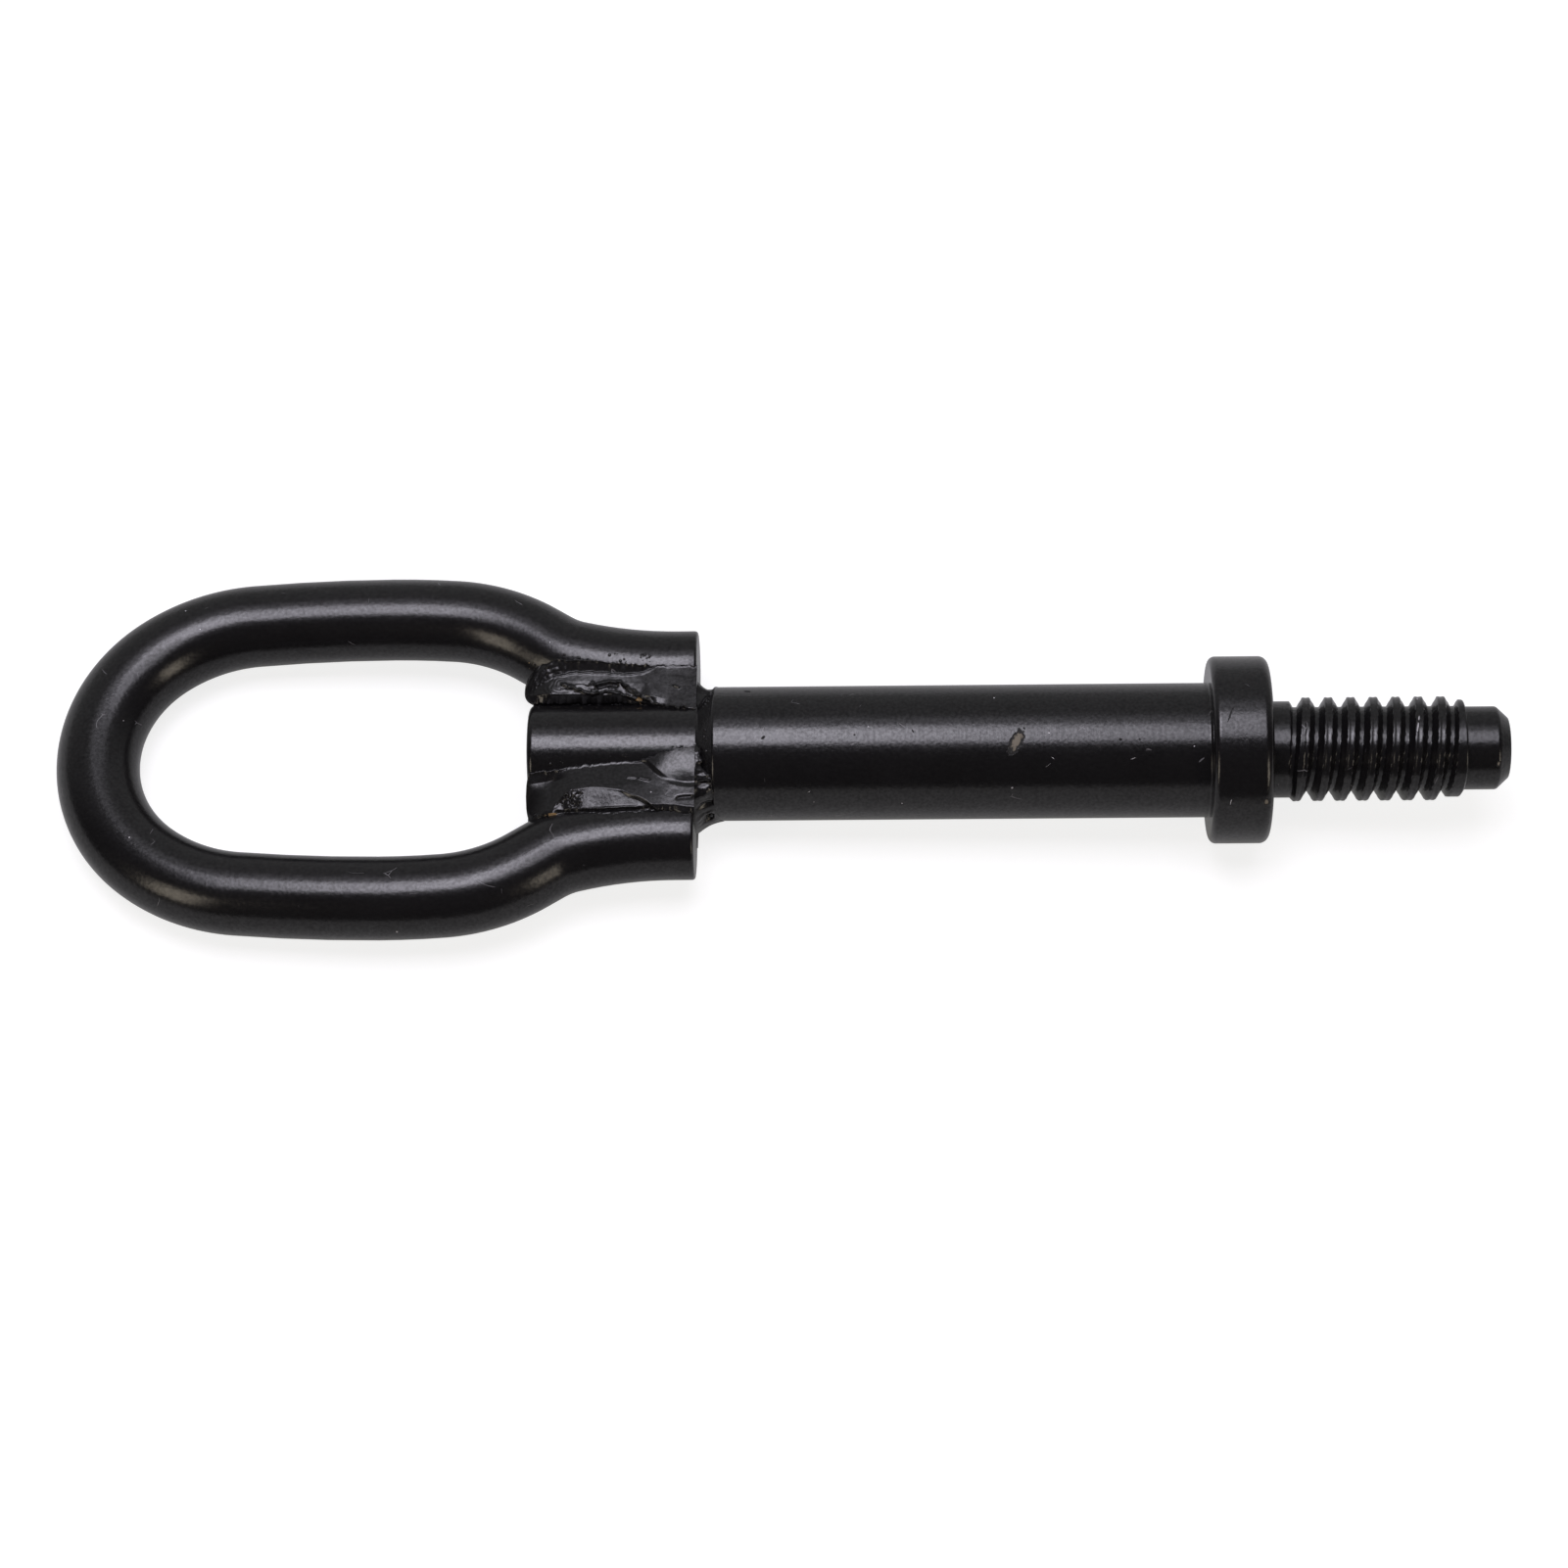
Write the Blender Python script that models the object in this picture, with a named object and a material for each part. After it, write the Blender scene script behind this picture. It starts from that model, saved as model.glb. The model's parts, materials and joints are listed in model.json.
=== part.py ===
# Screw-in tow eye, lying on a level surface.
#
# A round steel bar is bent into a loop whose two legs clasp the spigot of a turned shank. Beads along
# the spigot, above and below, and a fillet at each leg's end weld the two together. The shank's collar
# seats against the vehicle, and its coarse left-hand thread screws into the towing socket.
#
# Everything is modelled along X: x = 0 is the collar's seat face, the thread points to +X, the loop
# lies in the XY plane, "left" is +Y and "right" is -Y. An empty then tilts the whole eye so that it
# rests on the collar's edge and the loop's nose, with the origin under the middle of its box.

import math

import bmesh
import bpy
import numpy as np
from mathutils import Vector

MM = 0.001

# Space left between pieces that are welded face to face
SEAT_GAP = 0.3 * MM

# Loop, bent from round bar: each bend is a centreline radius and a turn in degrees
BAR_DIAMETER = 14.3 * MM
EYE_WIDTH = 39.6 * MM
LOOP_LENGTH = 110.3 * MM
LEG_STRAIGHT = 3.5 * MM
LEG_BEND_RADIUS = 72.7 * MM
LEG_BEND_TURN = 14.1
SPREAD_BEND_RADIUS = 14.8 * MM
SPREAD_LENGTH = 3.3 * MM
RETURN_BEND_RADIUS = 30.8 * MM
FLARE_RADIUS = 141.0 * MM
FLARE_TURN = 4.4
SIDE_TURN = 5.0
CORNER_RADIUS = 30.4 * MM
CORNER_TURN = 32.5
SAWN_EDGE = 0.5 * MM

# Turned shank, from the spigot's end to the tip
SPIGOT_DIAMETER = 17.2 * MM
SPIGOT_LENGTH = 28.9 * MM
SPIGOT_EDGE = 1.0 * MM
SHOULDER_LENGTH = 2.85 * MM
BARREL_DIAMETER = 23.0 * MM
BARREL_LENGTH = 84.1 * MM
COLLAR_DIAMETER = 32.0 * MM
COLLAR_WIDTH = 10.1 * MM
COLLAR_EDGE = 1.2 * MM
COLLAR_SEAT_EDGE = 1.6 * MM
NECK_DIAMETER = 16.5 * MM
NECK_LENGTH = 3.7 * MM
NECK_FILLET = 0.5 * MM
TIP_DIAMETER = 14.2 * MM
TIP_LENGTH = 7.6 * MM
TIP_CHAMFER = 2.05 * MM
TIP_EDGE = 0.3 * MM

# Coarse thread: a groove with rounded lips, cut left-handed into the blank between neck and tip
THREAD_DIAMETER = 17.8 * MM
THREAD_LENGTH = 29.4 * MM
THREAD_ROOT_DIAMETER = 14.4 * MM
THREAD_PITCH = 3.81 * MM
THREAD_ROOT_WIDTH = 0.7 * MM
THREAD_CREST_WIDTH = 1.15 * MM
THREAD_LIP = 0.28 * MM
LEAD_DIAMETER = 16.6 * MM
LEAD_LENGTH = 2.6 * MM
GROOVE_START_ANGLE = 208.0
GROOVE_START_BACK = 0.93 * MM
GROOVE_FADE_TURNS = 0.45

# Leg ends stop this far short of the foot of the shoulder
LEG_END_SPACE = 0.35 * MM

# Beads along the spigot: toe angles are measured from the crest of the bar they lie on, in degrees
BEAD_ROOT_HEIGHT = 2.5 * MM
BEAD_OVERHANG = 1.2 * MM
BEAD_END_ROUND = 2.4 * MM
BEAD_CROWN = 0.45 * MM
LEFT_SPIGOT_TOE = (64.0, 62.0)
LEFT_LEG_TOE = (20.0, 17.0)
RIGHT_SPIGOT_TOE = (42.0, 24.0)
RIGHT_LEG_TOE = (9.0, 7.0)
UNDER_SPIGOT_TOE = (46.0, 40.0)
UNDER_LEG_TOE = (14.0, 12.0)

# Fillets between the leg ends and the shoulder: height over the barrel at the leg's end, reach past the
# barrel's edge, and the angle off the crest where they start
LEFT_FILLET_RISE = 0.9 * MM
LEFT_FILLET_REACH = -1.3 * MM
LEFT_FILLET_START = 27.0
RIGHT_FILLET_RISE = 2.1 * MM
RIGHT_FILLET_REACH = 1.2 * MM
RIGHT_FILLET_START = 40.0
FILLET_TOE = 0.25 * MM
FILLET_UNDER_START = 35.0

# Fineness of the round shapes
TURNED_SIDES = 48
BAR_SIDES = 24
BEND_STEP = 4.5
STRAIGHT_STEP = 3.0 * MM

# Black coating, the same on every piece but a little duller over the welds
COAT_COLOUR = (0.012, 0.012, 0.013, 1.0)
COAT_ROUGHNESS = 0.32
WELD_ROUGHNESS = 0.42


def radius(diameter):
    return diameter / 2


SEAT_X = 0.0
COLLAR_X = SEAT_X - COLLAR_WIDTH
SHOULDER_X = COLLAR_X - BARREL_LENGTH
SPIGOT_ROOT_X = SHOULDER_X - SHOULDER_LENGTH
SPIGOT_END_X = SPIGOT_ROOT_X - SPIGOT_LENGTH
NECK_END_X = SEAT_X + NECK_LENGTH
THREAD_END_X = NECK_END_X + THREAD_LENGTH
TIP_X = THREAD_END_X + TIP_LENGTH
LEG_END_X = SPIGOT_ROOT_X - LEG_END_SPACE
LEG_OFFSET = radius(SPIGOT_DIAMETER) + SEAT_GAP + radius(BAR_DIAMETER)


def clear_scene():
    for item in list(bpy.data.objects):
        bpy.data.objects.remove(item, do_unlink=True)


def coating(name, roughness):
    """Black coating on steel, one material for each piece."""
    material = bpy.data.materials.new(name)
    material.use_nodes = True
    shader = material.node_tree.nodes["Principled BSDF"]
    shader.inputs["Base Color"].default_value = COAT_COLOUR
    shader.inputs["Roughness"].default_value = roughness
    shader.inputs["Metallic"].default_value = 0.0
    return material


def add_piece(name, mesh, roughness=COAT_ROUGHNESS):
    """Put a mesh in the scene as a named piece with its own material."""
    mesh.shade_smooth()
    mesh.set_sharp_from_angle(angle=math.radians(30))
    mesh.materials.append(coating(name + "_coat", roughness))
    piece = bpy.data.objects.new(name, mesh)
    bpy.context.scene.collection.objects.link(piece)
    return piece


def to_mesh(bm, name):
    """Turn a closed bmesh into a mesh with its faces pointing out."""
    bmesh.ops.recalc_face_normals(bm, faces=bm.faces)
    mesh = bpy.data.meshes.new(name)
    bm.to_mesh(mesh)
    bm.free()
    return mesh


def loft(name, sections):
    """Skin a row of closed sections that have the same number of points, and cap both ends."""
    bm = bmesh.new()
    rings = [[bm.verts.new(point) for point in section] for section in sections]
    count = len(rings[0])
    for near, far in zip(rings, rings[1:]):
        for i in range(count):
            j = (i + 1) % count
            bm.faces.new((near[i], near[j], far[j], far[i]))
    bm.faces.new(rings[0])
    bm.faces.new(rings[-1])
    return to_mesh(bm, name)


def arc(centre, r, start, end, steps):
    """Points of an arc in the (x, r) plane, from one angle to another in degrees."""
    angles = [math.radians(start + (end - start) * i / steps) for i in range(steps + 1)]
    return [(centre[0] + r * math.cos(a), centre[1] + r * math.sin(a)) for a in angles]


def shank_profile():
    """Outline of the turned blank as (x, radius) points, from the spigot's end to the tip."""
    spigot, barrel, collar = radius(SPIGOT_DIAMETER), radius(BARREL_DIAMETER), radius(COLLAR_DIAMETER)
    neck, thread, lead = radius(NECK_DIAMETER), radius(THREAD_DIAMETER), radius(LEAD_DIAMETER)
    tip = radius(TIP_DIAMETER)
    tip_face = tip - TIP_CHAMFER
    points = [(SPIGOT_END_X, 0.0)]
    points += arc((SPIGOT_END_X + SPIGOT_EDGE, spigot - SPIGOT_EDGE), SPIGOT_EDGE, 180, 90, 3)
    points += [(SPIGOT_ROOT_X, spigot), (SHOULDER_X, barrel), (COLLAR_X, barrel)]
    points += arc((COLLAR_X + COLLAR_EDGE, collar - COLLAR_EDGE), COLLAR_EDGE, 180, 90, 4)
    seat_edge = COLLAR_SEAT_EDGE
    points += arc((SEAT_X - seat_edge, collar - seat_edge), seat_edge, 90, 0, 5)
    points += arc((SEAT_X + NECK_FILLET, neck + NECK_FILLET), NECK_FILLET, 180, 270, 3)
    points += [(NECK_END_X, neck), (NECK_END_X + thread - neck, thread)]
    points += [(THREAD_END_X - LEAD_LENGTH - (thread - lead), thread), (THREAD_END_X - LEAD_LENGTH, lead)]
    points += [(THREAD_END_X - THREAD_LIP, lead), (THREAD_END_X, lead - THREAD_LIP), (THREAD_END_X, tip)]
    points += [(TIP_X - TIP_CHAMFER, tip), (TIP_X - TIP_EDGE, tip_face + TIP_EDGE)]
    points += [(TIP_X, tip_face), (TIP_X, 0.0)]
    return points


def turned_mesh(name, profile):
    """Spin an outline about the X axis, with a flat facet at the top and bottom."""
    bm = bmesh.new()
    half_step = math.pi / TURNED_SIDES
    verts = [bm.verts.new((x, r * math.sin(half_step), r * math.cos(half_step))) for x, r in profile]
    edges = [bm.edges.new(pair) for pair in zip(verts, verts[1:])]
    bmesh.ops.spin(
        bm,
        geom=verts + edges,
        cent=(0, 0, 0),
        axis=(1, 0, 0),
        angle=2 * math.pi,
        steps=TURNED_SIDES,
        use_merge=True,
    )
    bmesh.ops.remove_doubles(bm, verts=bm.verts, dist=0.001 * MM)
    return to_mesh(bm, name)


def groove_section(x, angle, lift):
    """One section of the thread groove's cutter at an angle about X, raised by lift from full depth."""
    root, crest = radius(THREAD_ROOT_DIAMETER), radius(THREAD_DIAMETER)
    root_half = THREAD_ROOT_WIDTH / 2
    lip_half = (THREAD_PITCH - THREAD_CREST_WIDTH) / 2
    flank_half = lip_half - THREAD_LIP
    outline = [
        (-root_half, root),
        (-flank_half, crest - THREAD_LIP),
        (-lip_half, crest),
        (-lip_half, crest + THREAD_LIP),
        (lip_half, crest + THREAD_LIP),
        (lip_half, crest),
        (flank_half, crest - THREAD_LIP),
        (root_half, root),
    ]
    y, z = math.cos(angle), math.sin(angle)
    return [(x + dx, (r + lift) * y, (r + lift) * z) for dx, r in outline]


def thread_groove():
    """Left-handed helical cutter that fades in at the neck and runs out over the tip."""
    start_x = NECK_END_X - GROOVE_START_BACK
    turns = (THREAD_END_X + THREAD_PITCH / 2 - start_x) / THREAD_PITCH
    steps = math.ceil(turns * TURNED_SIDES)
    full_depth = radius(NECK_DIAMETER) - radius(THREAD_ROOT_DIAMETER) + THREAD_LIP
    facet = 2 * math.pi / TURNED_SIDES
    first = round(math.radians(GROOVE_START_ANGLE) / facet - 0.5) + 0.5
    sections = []
    for i in range(steps + 1):
        turn = i / TURNED_SIDES
        lift = full_depth * max(0.0, 1 - turn / GROOVE_FADE_TURNS)
        sections.append(groove_section(start_x + turn * THREAD_PITCH, (first - i) * facet, lift))
    mesh = loft("thread_groove", sections)
    cutter = bpy.data.objects.new("thread_groove", mesh)
    bpy.context.scene.collection.objects.link(cutter)
    cutter.hide_render = True
    cutter.display_type = "WIRE"
    return cutter


def threaded_shank():
    """Spigot, shoulder, barrel, collar, neck, thread and tip, turned from one bar."""
    shank = add_piece("threaded_shank", turned_mesh("threaded_shank", shank_profile()))
    cutter = thread_groove()
    cutter.parent = shank
    cut = shank.modifiers.new("thread", "BOOLEAN")
    cut.operation = "DIFFERENCE"
    cut.solver = "EXACT"
    cut.object = cutter
    return shank


def bend(path, r, turn):
    """Add a bend to a path of (x, y, heading), where heading is the angle from -X towards +Y."""
    steps = max(1, math.ceil(abs(math.degrees(turn)) / BEND_STEP))
    x, y, heading = path[-1]
    side = math.copysign(r, turn)
    centre_x, centre_y = x + side * math.sin(heading), y + side * math.cos(heading)
    for i in range(1, steps + 1):
        h = heading + turn * i / steps
        path.append((centre_x - side * math.sin(h), centre_y - side * math.cos(h), h))


def straight(path, length):
    """Add a straight stretch to a path."""
    steps = max(1, math.ceil(length / STRAIGHT_STEP))
    x, y, heading = path[-1]
    for i in range(1, steps + 1):
        d = length * i / steps
        path.append((x - d * math.cos(heading), y + d * math.sin(heading), heading))


def half_loop():
    """Centreline of the left half of the loop, from the leg's end to the middle of the nose.

    The eye's width sets how steeply the leg spreads, and the length and width together set the radii
    of the side and the nose.
    """
    half_width = (EYE_WIDTH + BAR_DIAMETER) / 2
    leg_turn, flare_turn = math.radians(LEG_BEND_TURN), math.radians(FLARE_TURN)
    corner_start, corner_end = math.radians(SIDE_TURN), math.radians(SIDE_TURN + CORNER_TURN)

    both_bends = SPREAD_BEND_RADIUS + RETURN_BEND_RADIUS
    level = (
        LEG_BEND_RADIUS * (1 - math.cos(leg_turn))
        + SPREAD_BEND_RADIUS * math.cos(leg_turn)
        + RETURN_BEND_RADIUS * math.cos(flare_turn)
        + FLARE_RADIUS * (1 - math.cos(flare_turn))
    )
    rise = half_width - LEG_OFFSET
    lean = math.atan2(SPREAD_LENGTH, both_bends)
    spread = math.acos((level - rise) / math.hypot(both_bends, SPREAD_LENGTH)) - lean

    path = [(LEG_END_X, LEG_OFFSET, 0.0)]
    straight(path, LEG_STRAIGHT)
    bend(path, LEG_BEND_RADIUS, leg_turn)
    bend(path, SPREAD_BEND_RADIUS, spread - leg_turn)
    straight(path, SPREAD_LENGTH)
    bend(path, RETURN_BEND_RADIUS, flare_turn - spread)
    bend(path, FLARE_RADIUS, -flare_turn)

    nose_x = LEG_END_X - LOOP_LENGTH + radius(BAR_DIAMETER)
    corner_run = CORNER_RADIUS * (math.sin(corner_end) - math.sin(corner_start))
    corner_drop = CORNER_RADIUS * (math.cos(corner_start) - math.cos(corner_end))
    closing = np.array([
        [math.sin(corner_start), 1 - math.sin(corner_end)],
        [1 - math.cos(corner_start), math.cos(corner_end)],
    ])
    needed = np.array([path[-1][0] - nose_x - corner_run, half_width - corner_drop])
    side_radius, nose_radius = np.linalg.solve(closing, needed)
    bend(path, side_radius, -corner_start)
    bend(path, CORNER_RADIUS, corner_start - corner_end)
    bend(path, nose_radius, corner_end - math.pi / 2)
    return path


def tow_loop(path):
    """Round bar bent along the centreline and its mirror image, with sawn and broken ends."""
    edge = SAWN_EDGE
    ends = [(path[0][0] - edge, path[0][1])] + [(x, y) for x, y, heading in path[1:]]
    left = [(path[0][0], path[0][1])] + ends
    points = left + [(x, -y) for x, y in reversed(left[:-1])]

    curve = bpy.data.curves.new("tow_loop_centreline", "CURVE")
    curve.dimensions = "3D"
    curve.twist_mode = "Z_UP"
    curve.bevel_depth = radius(BAR_DIAMETER)
    curve.bevel_resolution = (BAR_SIDES - 4) // 2
    curve.use_fill_caps = True
    spline = curve.splines.new("POLY")
    spline.points.add(len(points) - 1)
    for point, (x, y) in zip(spline.points, points):
        point.co = (x, y, 0.0, 1.0)
        point.tilt = math.pi / BAR_SIDES
    for point in (spline.points[0], spline.points[-1]):
        point.radius = 1 - edge / radius(BAR_DIAMETER)

    guide = bpy.data.objects.new("tow_loop_centreline", curve)
    mesh = bpy.data.meshes.new_from_object(guide)
    bpy.data.objects.remove(guide)
    mesh.name = "tow_loop"
    return add_piece("tow_loop", mesh)


def leg_at(path, x):
    """Offset and heading of the leg's centreline where it passes a given x."""
    xs = [p[0] for p in reversed(path)]
    offset = np.interp(x, xs, [p[1] for p in reversed(path)])
    heading = np.interp(x, xs, [p[2] for p in reversed(path)])
    return float(offset), float(heading)


def bead_section(path, x, spigot_toe, leg_toe):
    """Section of a bead in the valley between spigot and leg, as (y, z) points above the loop's plane."""
    offset, heading = leg_at(path, x)
    leg_z = radius(BAR_DIAMETER) + SEAT_GAP
    leg_y = leg_z / math.cos(heading)
    spigot = radius(SPIGOT_DIAMETER) + SEAT_GAP
    spigot_low, spigot_high = math.asin(BEAD_ROOT_HEIGHT / spigot), math.radians(90 - spigot_toe)
    leg_low, leg_high = math.asin(BEAD_ROOT_HEIGHT / leg_z), math.radians(90 - leg_toe)

    points = []
    for i in range(4):
        a = spigot_high + (spigot_low - spigot_high) * i / 3
        points.append((spigot * math.cos(a), spigot * math.sin(a)))
    for i in range(6):
        a = leg_low + (leg_high - leg_low) * i / 5
        points.append((offset - leg_y * math.cos(a), leg_z * math.sin(a)))
    (y0, z0), (y1, z1) = points[-1], points[0]
    for i in range(1, 5):
        t = i / 5
        points.append((y0 + (y1 - y0) * t, z0 + (z1 - z0) * t + BEAD_CROWN * 4 * t * (1 - t)))
    return points


def spigot_bead(name, path, side, up, spigot_toe, leg_toe):
    """Bead along the spigot: side is +1 for left, up is +1 for the top, toes run from end to shoulder."""
    start, end = SPIGOT_END_X - BEAD_OVERHANG, LEG_END_X
    rounding = [1 - math.cos(math.radians(a)) for a in (12, 35, 60, 90)]
    stations = [start + BEAD_END_ROUND * r for r in rounding]
    steps = math.ceil((end - stations[-1]) / STRAIGHT_STEP)
    stations += [stations[-1] + (end - stations[-1]) * i / steps for i in range(1, steps + 1)]

    sections = []
    for x in stations:
        t = (x - start) / (end - start)
        toes = [a + (b - a) * t for a, b in (spigot_toe, leg_toe)]
        points = bead_section(path, x, *toes)
        middle = np.mean(points, axis=0)
        inset = max(0.0, 1 - (x - start) / BEAD_END_ROUND)
        size = math.sqrt(1 - inset * inset)
        shrunk = [middle + (np.array(p) - middle) * size for p in points]
        sections.append([(x, side * y, up * z) for y, z in shrunk])
    return add_piece(name, loft(name, sections), WELD_ROUGHNESS)


def clear_of_shank(x):
    """Radius that stays the seat gap off the spigot, the shoulder's cone and the barrel."""
    spigot, barrel = radius(SPIGOT_DIAMETER), radius(BARREL_DIAMETER)
    slope = math.atan2(barrel - spigot, SHOULDER_LENGTH)
    on_cone = spigot + (x - SPIGOT_ROOT_X) * math.tan(slope) + SEAT_GAP / math.cos(slope)
    return min(max(on_cone, spigot + SEAT_GAP), barrel + SEAT_GAP)


def shoulder_fillet(name, side, start, rise, reach):
    """Fillet between a leg's end and the shoulder, from a start angle off the crest to the underside."""
    face, toe_x = LEG_END_X + SEAT_GAP, SHOULDER_X + reach
    height = radius(BARREL_DIAMETER) + rise - clear_of_shank(face)
    stations = sorted({face + (toe_x - face) * i / 6 for i in range(7)} | {min(SHOULDER_X, toe_x)})
    end = 180.0 - FILLET_UNDER_START
    steps = math.ceil((end - start) * TURNED_SIDES / 360)
    sections = []
    for i in range(steps + 1):
        t = i / steps
        a = math.radians(start + (end - start) * t)
        swell = math.sin(math.pi * (0.12 + 0.76 * t))
        base = [(x, clear_of_shank(x)) for x in stations]
        top = []
        for x, r in reversed(base):
            u = (toe_x - x) / (toe_x - face)
            top.append((x, r + (FILLET_TOE + (height - FILLET_TOE) * u ** 1.6) * swell))
        sections.append([(x, side * r * math.sin(a), r * math.cos(a)) for x, r in base + top])
    return add_piece(name, loft(name, sections), WELD_ROUGHNESS)


def lowest(points, tilt):
    """Height of the lowest of some points after the eye is tilted, thread end up."""
    return float(np.min(points[:, 2] * math.cos(tilt) + points[:, 0] * math.sin(tilt)))


def evaluated_points(piece):
    """Vertices of a piece with its modifiers, as an array."""
    mesh = piece.evaluated_get(bpy.context.evaluated_depsgraph_get()).to_mesh()
    points = np.array([v.co for v in mesh.vertices])
    piece.to_mesh_clear()
    return points


def settle(pieces, shank, loop):
    """Tilt the eye until shank and loop both touch the ground, and centre its box on the origin."""
    bpy.context.view_layer.update()
    shank_points, loop_points = evaluated_points(shank), evaluated_points(loop)
    low, high = 0.0, math.radians(20)
    for _ in range(50):
        tilt = (low + high) / 2
        if lowest(shank_points, tilt) < lowest(loop_points, tilt):
            low = tilt
        else:
            high = tilt

    points = np.concatenate([evaluated_points(piece) for piece in pieces])
    along = points[:, 0] * math.cos(tilt) - points[:, 2] * math.sin(tilt)
    rest = bpy.data.objects.new("resting_frame", None)
    bpy.context.scene.collection.objects.link(rest)
    rest.rotation_euler = (0.0, -tilt, 0.0)
    middle_y = (points[:, 1].min() + points[:, 1].max()) / 2
    rest.location = Vector((-(along.min() + along.max()) / 2, -middle_y, -lowest(points, tilt)))
    for piece in pieces:
        piece.parent = rest


def build():
    clear_scene()
    path = half_loop()
    shank = threaded_shank()
    loop = tow_loop(path)
    pieces = [
        shank,
        loop,
        spigot_bead("groove_weld_top_left", path, 1, 1, LEFT_SPIGOT_TOE, LEFT_LEG_TOE),
        spigot_bead("groove_weld_top_right", path, -1, 1, RIGHT_SPIGOT_TOE, RIGHT_LEG_TOE),
        spigot_bead("groove_weld_under_left", path, 1, -1, UNDER_SPIGOT_TOE, UNDER_LEG_TOE),
        spigot_bead("groove_weld_under_right", path, -1, -1, UNDER_SPIGOT_TOE, UNDER_LEG_TOE),
        shoulder_fillet("end_weld_left", 1, LEFT_FILLET_START, LEFT_FILLET_RISE, LEFT_FILLET_REACH),
        shoulder_fillet("end_weld_right", -1, RIGHT_FILLET_START, RIGHT_FILLET_RISE, RIGHT_FILLET_REACH),
    ]
    settle(pieces, shank, loop)


build()
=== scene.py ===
import json
import math
from functools import partial

import bpy
import numpy as np
from mathutils import Matrix, Vector


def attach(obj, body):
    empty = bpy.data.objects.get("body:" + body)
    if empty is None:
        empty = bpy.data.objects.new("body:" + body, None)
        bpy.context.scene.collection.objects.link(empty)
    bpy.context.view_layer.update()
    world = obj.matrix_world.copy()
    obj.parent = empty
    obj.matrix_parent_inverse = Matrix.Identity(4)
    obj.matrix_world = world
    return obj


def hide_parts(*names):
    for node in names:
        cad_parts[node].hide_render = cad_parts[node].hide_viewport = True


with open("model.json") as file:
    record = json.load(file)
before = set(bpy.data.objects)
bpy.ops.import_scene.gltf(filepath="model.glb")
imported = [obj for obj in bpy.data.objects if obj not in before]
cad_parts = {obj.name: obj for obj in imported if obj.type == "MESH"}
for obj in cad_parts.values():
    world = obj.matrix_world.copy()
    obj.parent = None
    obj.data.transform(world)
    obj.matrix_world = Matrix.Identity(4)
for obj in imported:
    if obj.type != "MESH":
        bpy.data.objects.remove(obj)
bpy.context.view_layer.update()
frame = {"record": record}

MM = 0.001

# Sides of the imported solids: round pieces here have their width across flats
CAD_TURNED_SIDES = 48
CAD_BAR_SIDES = 24
TURNED_FIT = math.cos(math.pi / CAD_TURNED_SIDES)
BAR_FIT = math.cos(math.pi / CAD_BAR_SIDES)

# Loop, bent from round bar: each bend is a centreline radius and a turn in degrees
BAR_MM = 14.3
SPIGOT_MM = 17.2
LEG_GAP_MM = 0.3
EYE_MM = 39.6
BAR_CLEARANCE = 0.9995
BAR_RADIUS = BAR_MM / 2 * MM * BAR_FIT * BAR_CLEARANCE
BAR_OFFSET = (SPIGOT_MM / 2 + LEG_GAP_MM + BAR_MM / 2) * MM
HALF_WIDTH = (EYE_MM + BAR_MM) / 2 * MM
LOOP_LENGTH = 110.3 * MM
LEG_STRAIGHT = 3.5 * MM
LEG_BEND = (72.7 * MM, 14.1)
SPREAD_RADIUS = 14.8 * MM
SPREAD_LENGTH = 3.3 * MM
RETURN_RADIUS = 30.8 * MM
FLARE = (141.0 * MM, 4.4)
SIDE_TURN = 5.0
CORNER = (30.4 * MM, 32.5)
SAWN_EDGE = 0.5 * MM

# Turned shank, from the spigot's end to the tip
SPIGOT_RADIUS = SPIGOT_MM / 2 * MM * TURNED_FIT
SPIGOT_LENGTH = 28.9 * MM
SPIGOT_EDGE = 1.0 * MM
SHOULDER_LENGTH = 2.85 * MM
SHOULDER_BREAK = 0.15 * MM
BARREL_BREAK = (0.12 * MM, 0.1 * MM)
BARREL_RADIUS = 23.0 / 2 * MM * TURNED_FIT
BARREL_LENGTH = 84.1 * MM
COLLAR_RADIUS = 32.0 / 2 * MM * TURNED_FIT
COLLAR_WIDTH = 10.1 * MM
COLLAR_EDGE = 1.2 * MM
COLLAR_SEAT_EDGE = 1.6 * MM
COLLAR_FILLET = 0.3 * MM
NECK_RADIUS = 16.5 / 2 * MM * TURNED_FIT
NECK_LENGTH = 3.7 * MM
NECK_FILLET = 0.5 * MM
TIP_RADIUS = 14.2 / 2 * MM * TURNED_FIT
TIP_LENGTH = 7.6 * MM
TIP_CHAMFER = 2.05 * MM
TIP_EDGE = 0.3 * MM
TIP_BREAK = (0.25 * MM, 0.1 * MM)
TIP_FILLET = 0.1 * MM

# Thread: a left-hand groove that fades in at the neck
THREAD_RADIUS = 17.8 / 2 * MM * TURNED_FIT
THREAD_LENGTH = 29.4 * MM
THREAD_ROOT = 14.4 / 2 * MM
THREAD_PITCH = 3.81 * MM
THREAD_ROOT_WIDTH = 0.7 * MM
THREAD_CREST_WIDTH = 1.3 * MM
THREAD_LIP = 0.3 * MM
THREAD_SEAM = 0.09 * MM
THREAD_SEAM_WIDTH = 0.33 * MM
THREAD_CREST_FALL = 0.05 * MM
THREAD_FLANK_WAVE = 0.05
LEAD_RADIUS = 16.6 / 2 * MM * TURNED_FIT
LEAD_LENGTH = 2.6 * MM
GROOVE_START_ANGLE = 206.25
GROOVE_START_BACK = 0.93 * MM
GROOVE_FADE_TURNS = 0.45
THREAD_RINGS = 294

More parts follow.
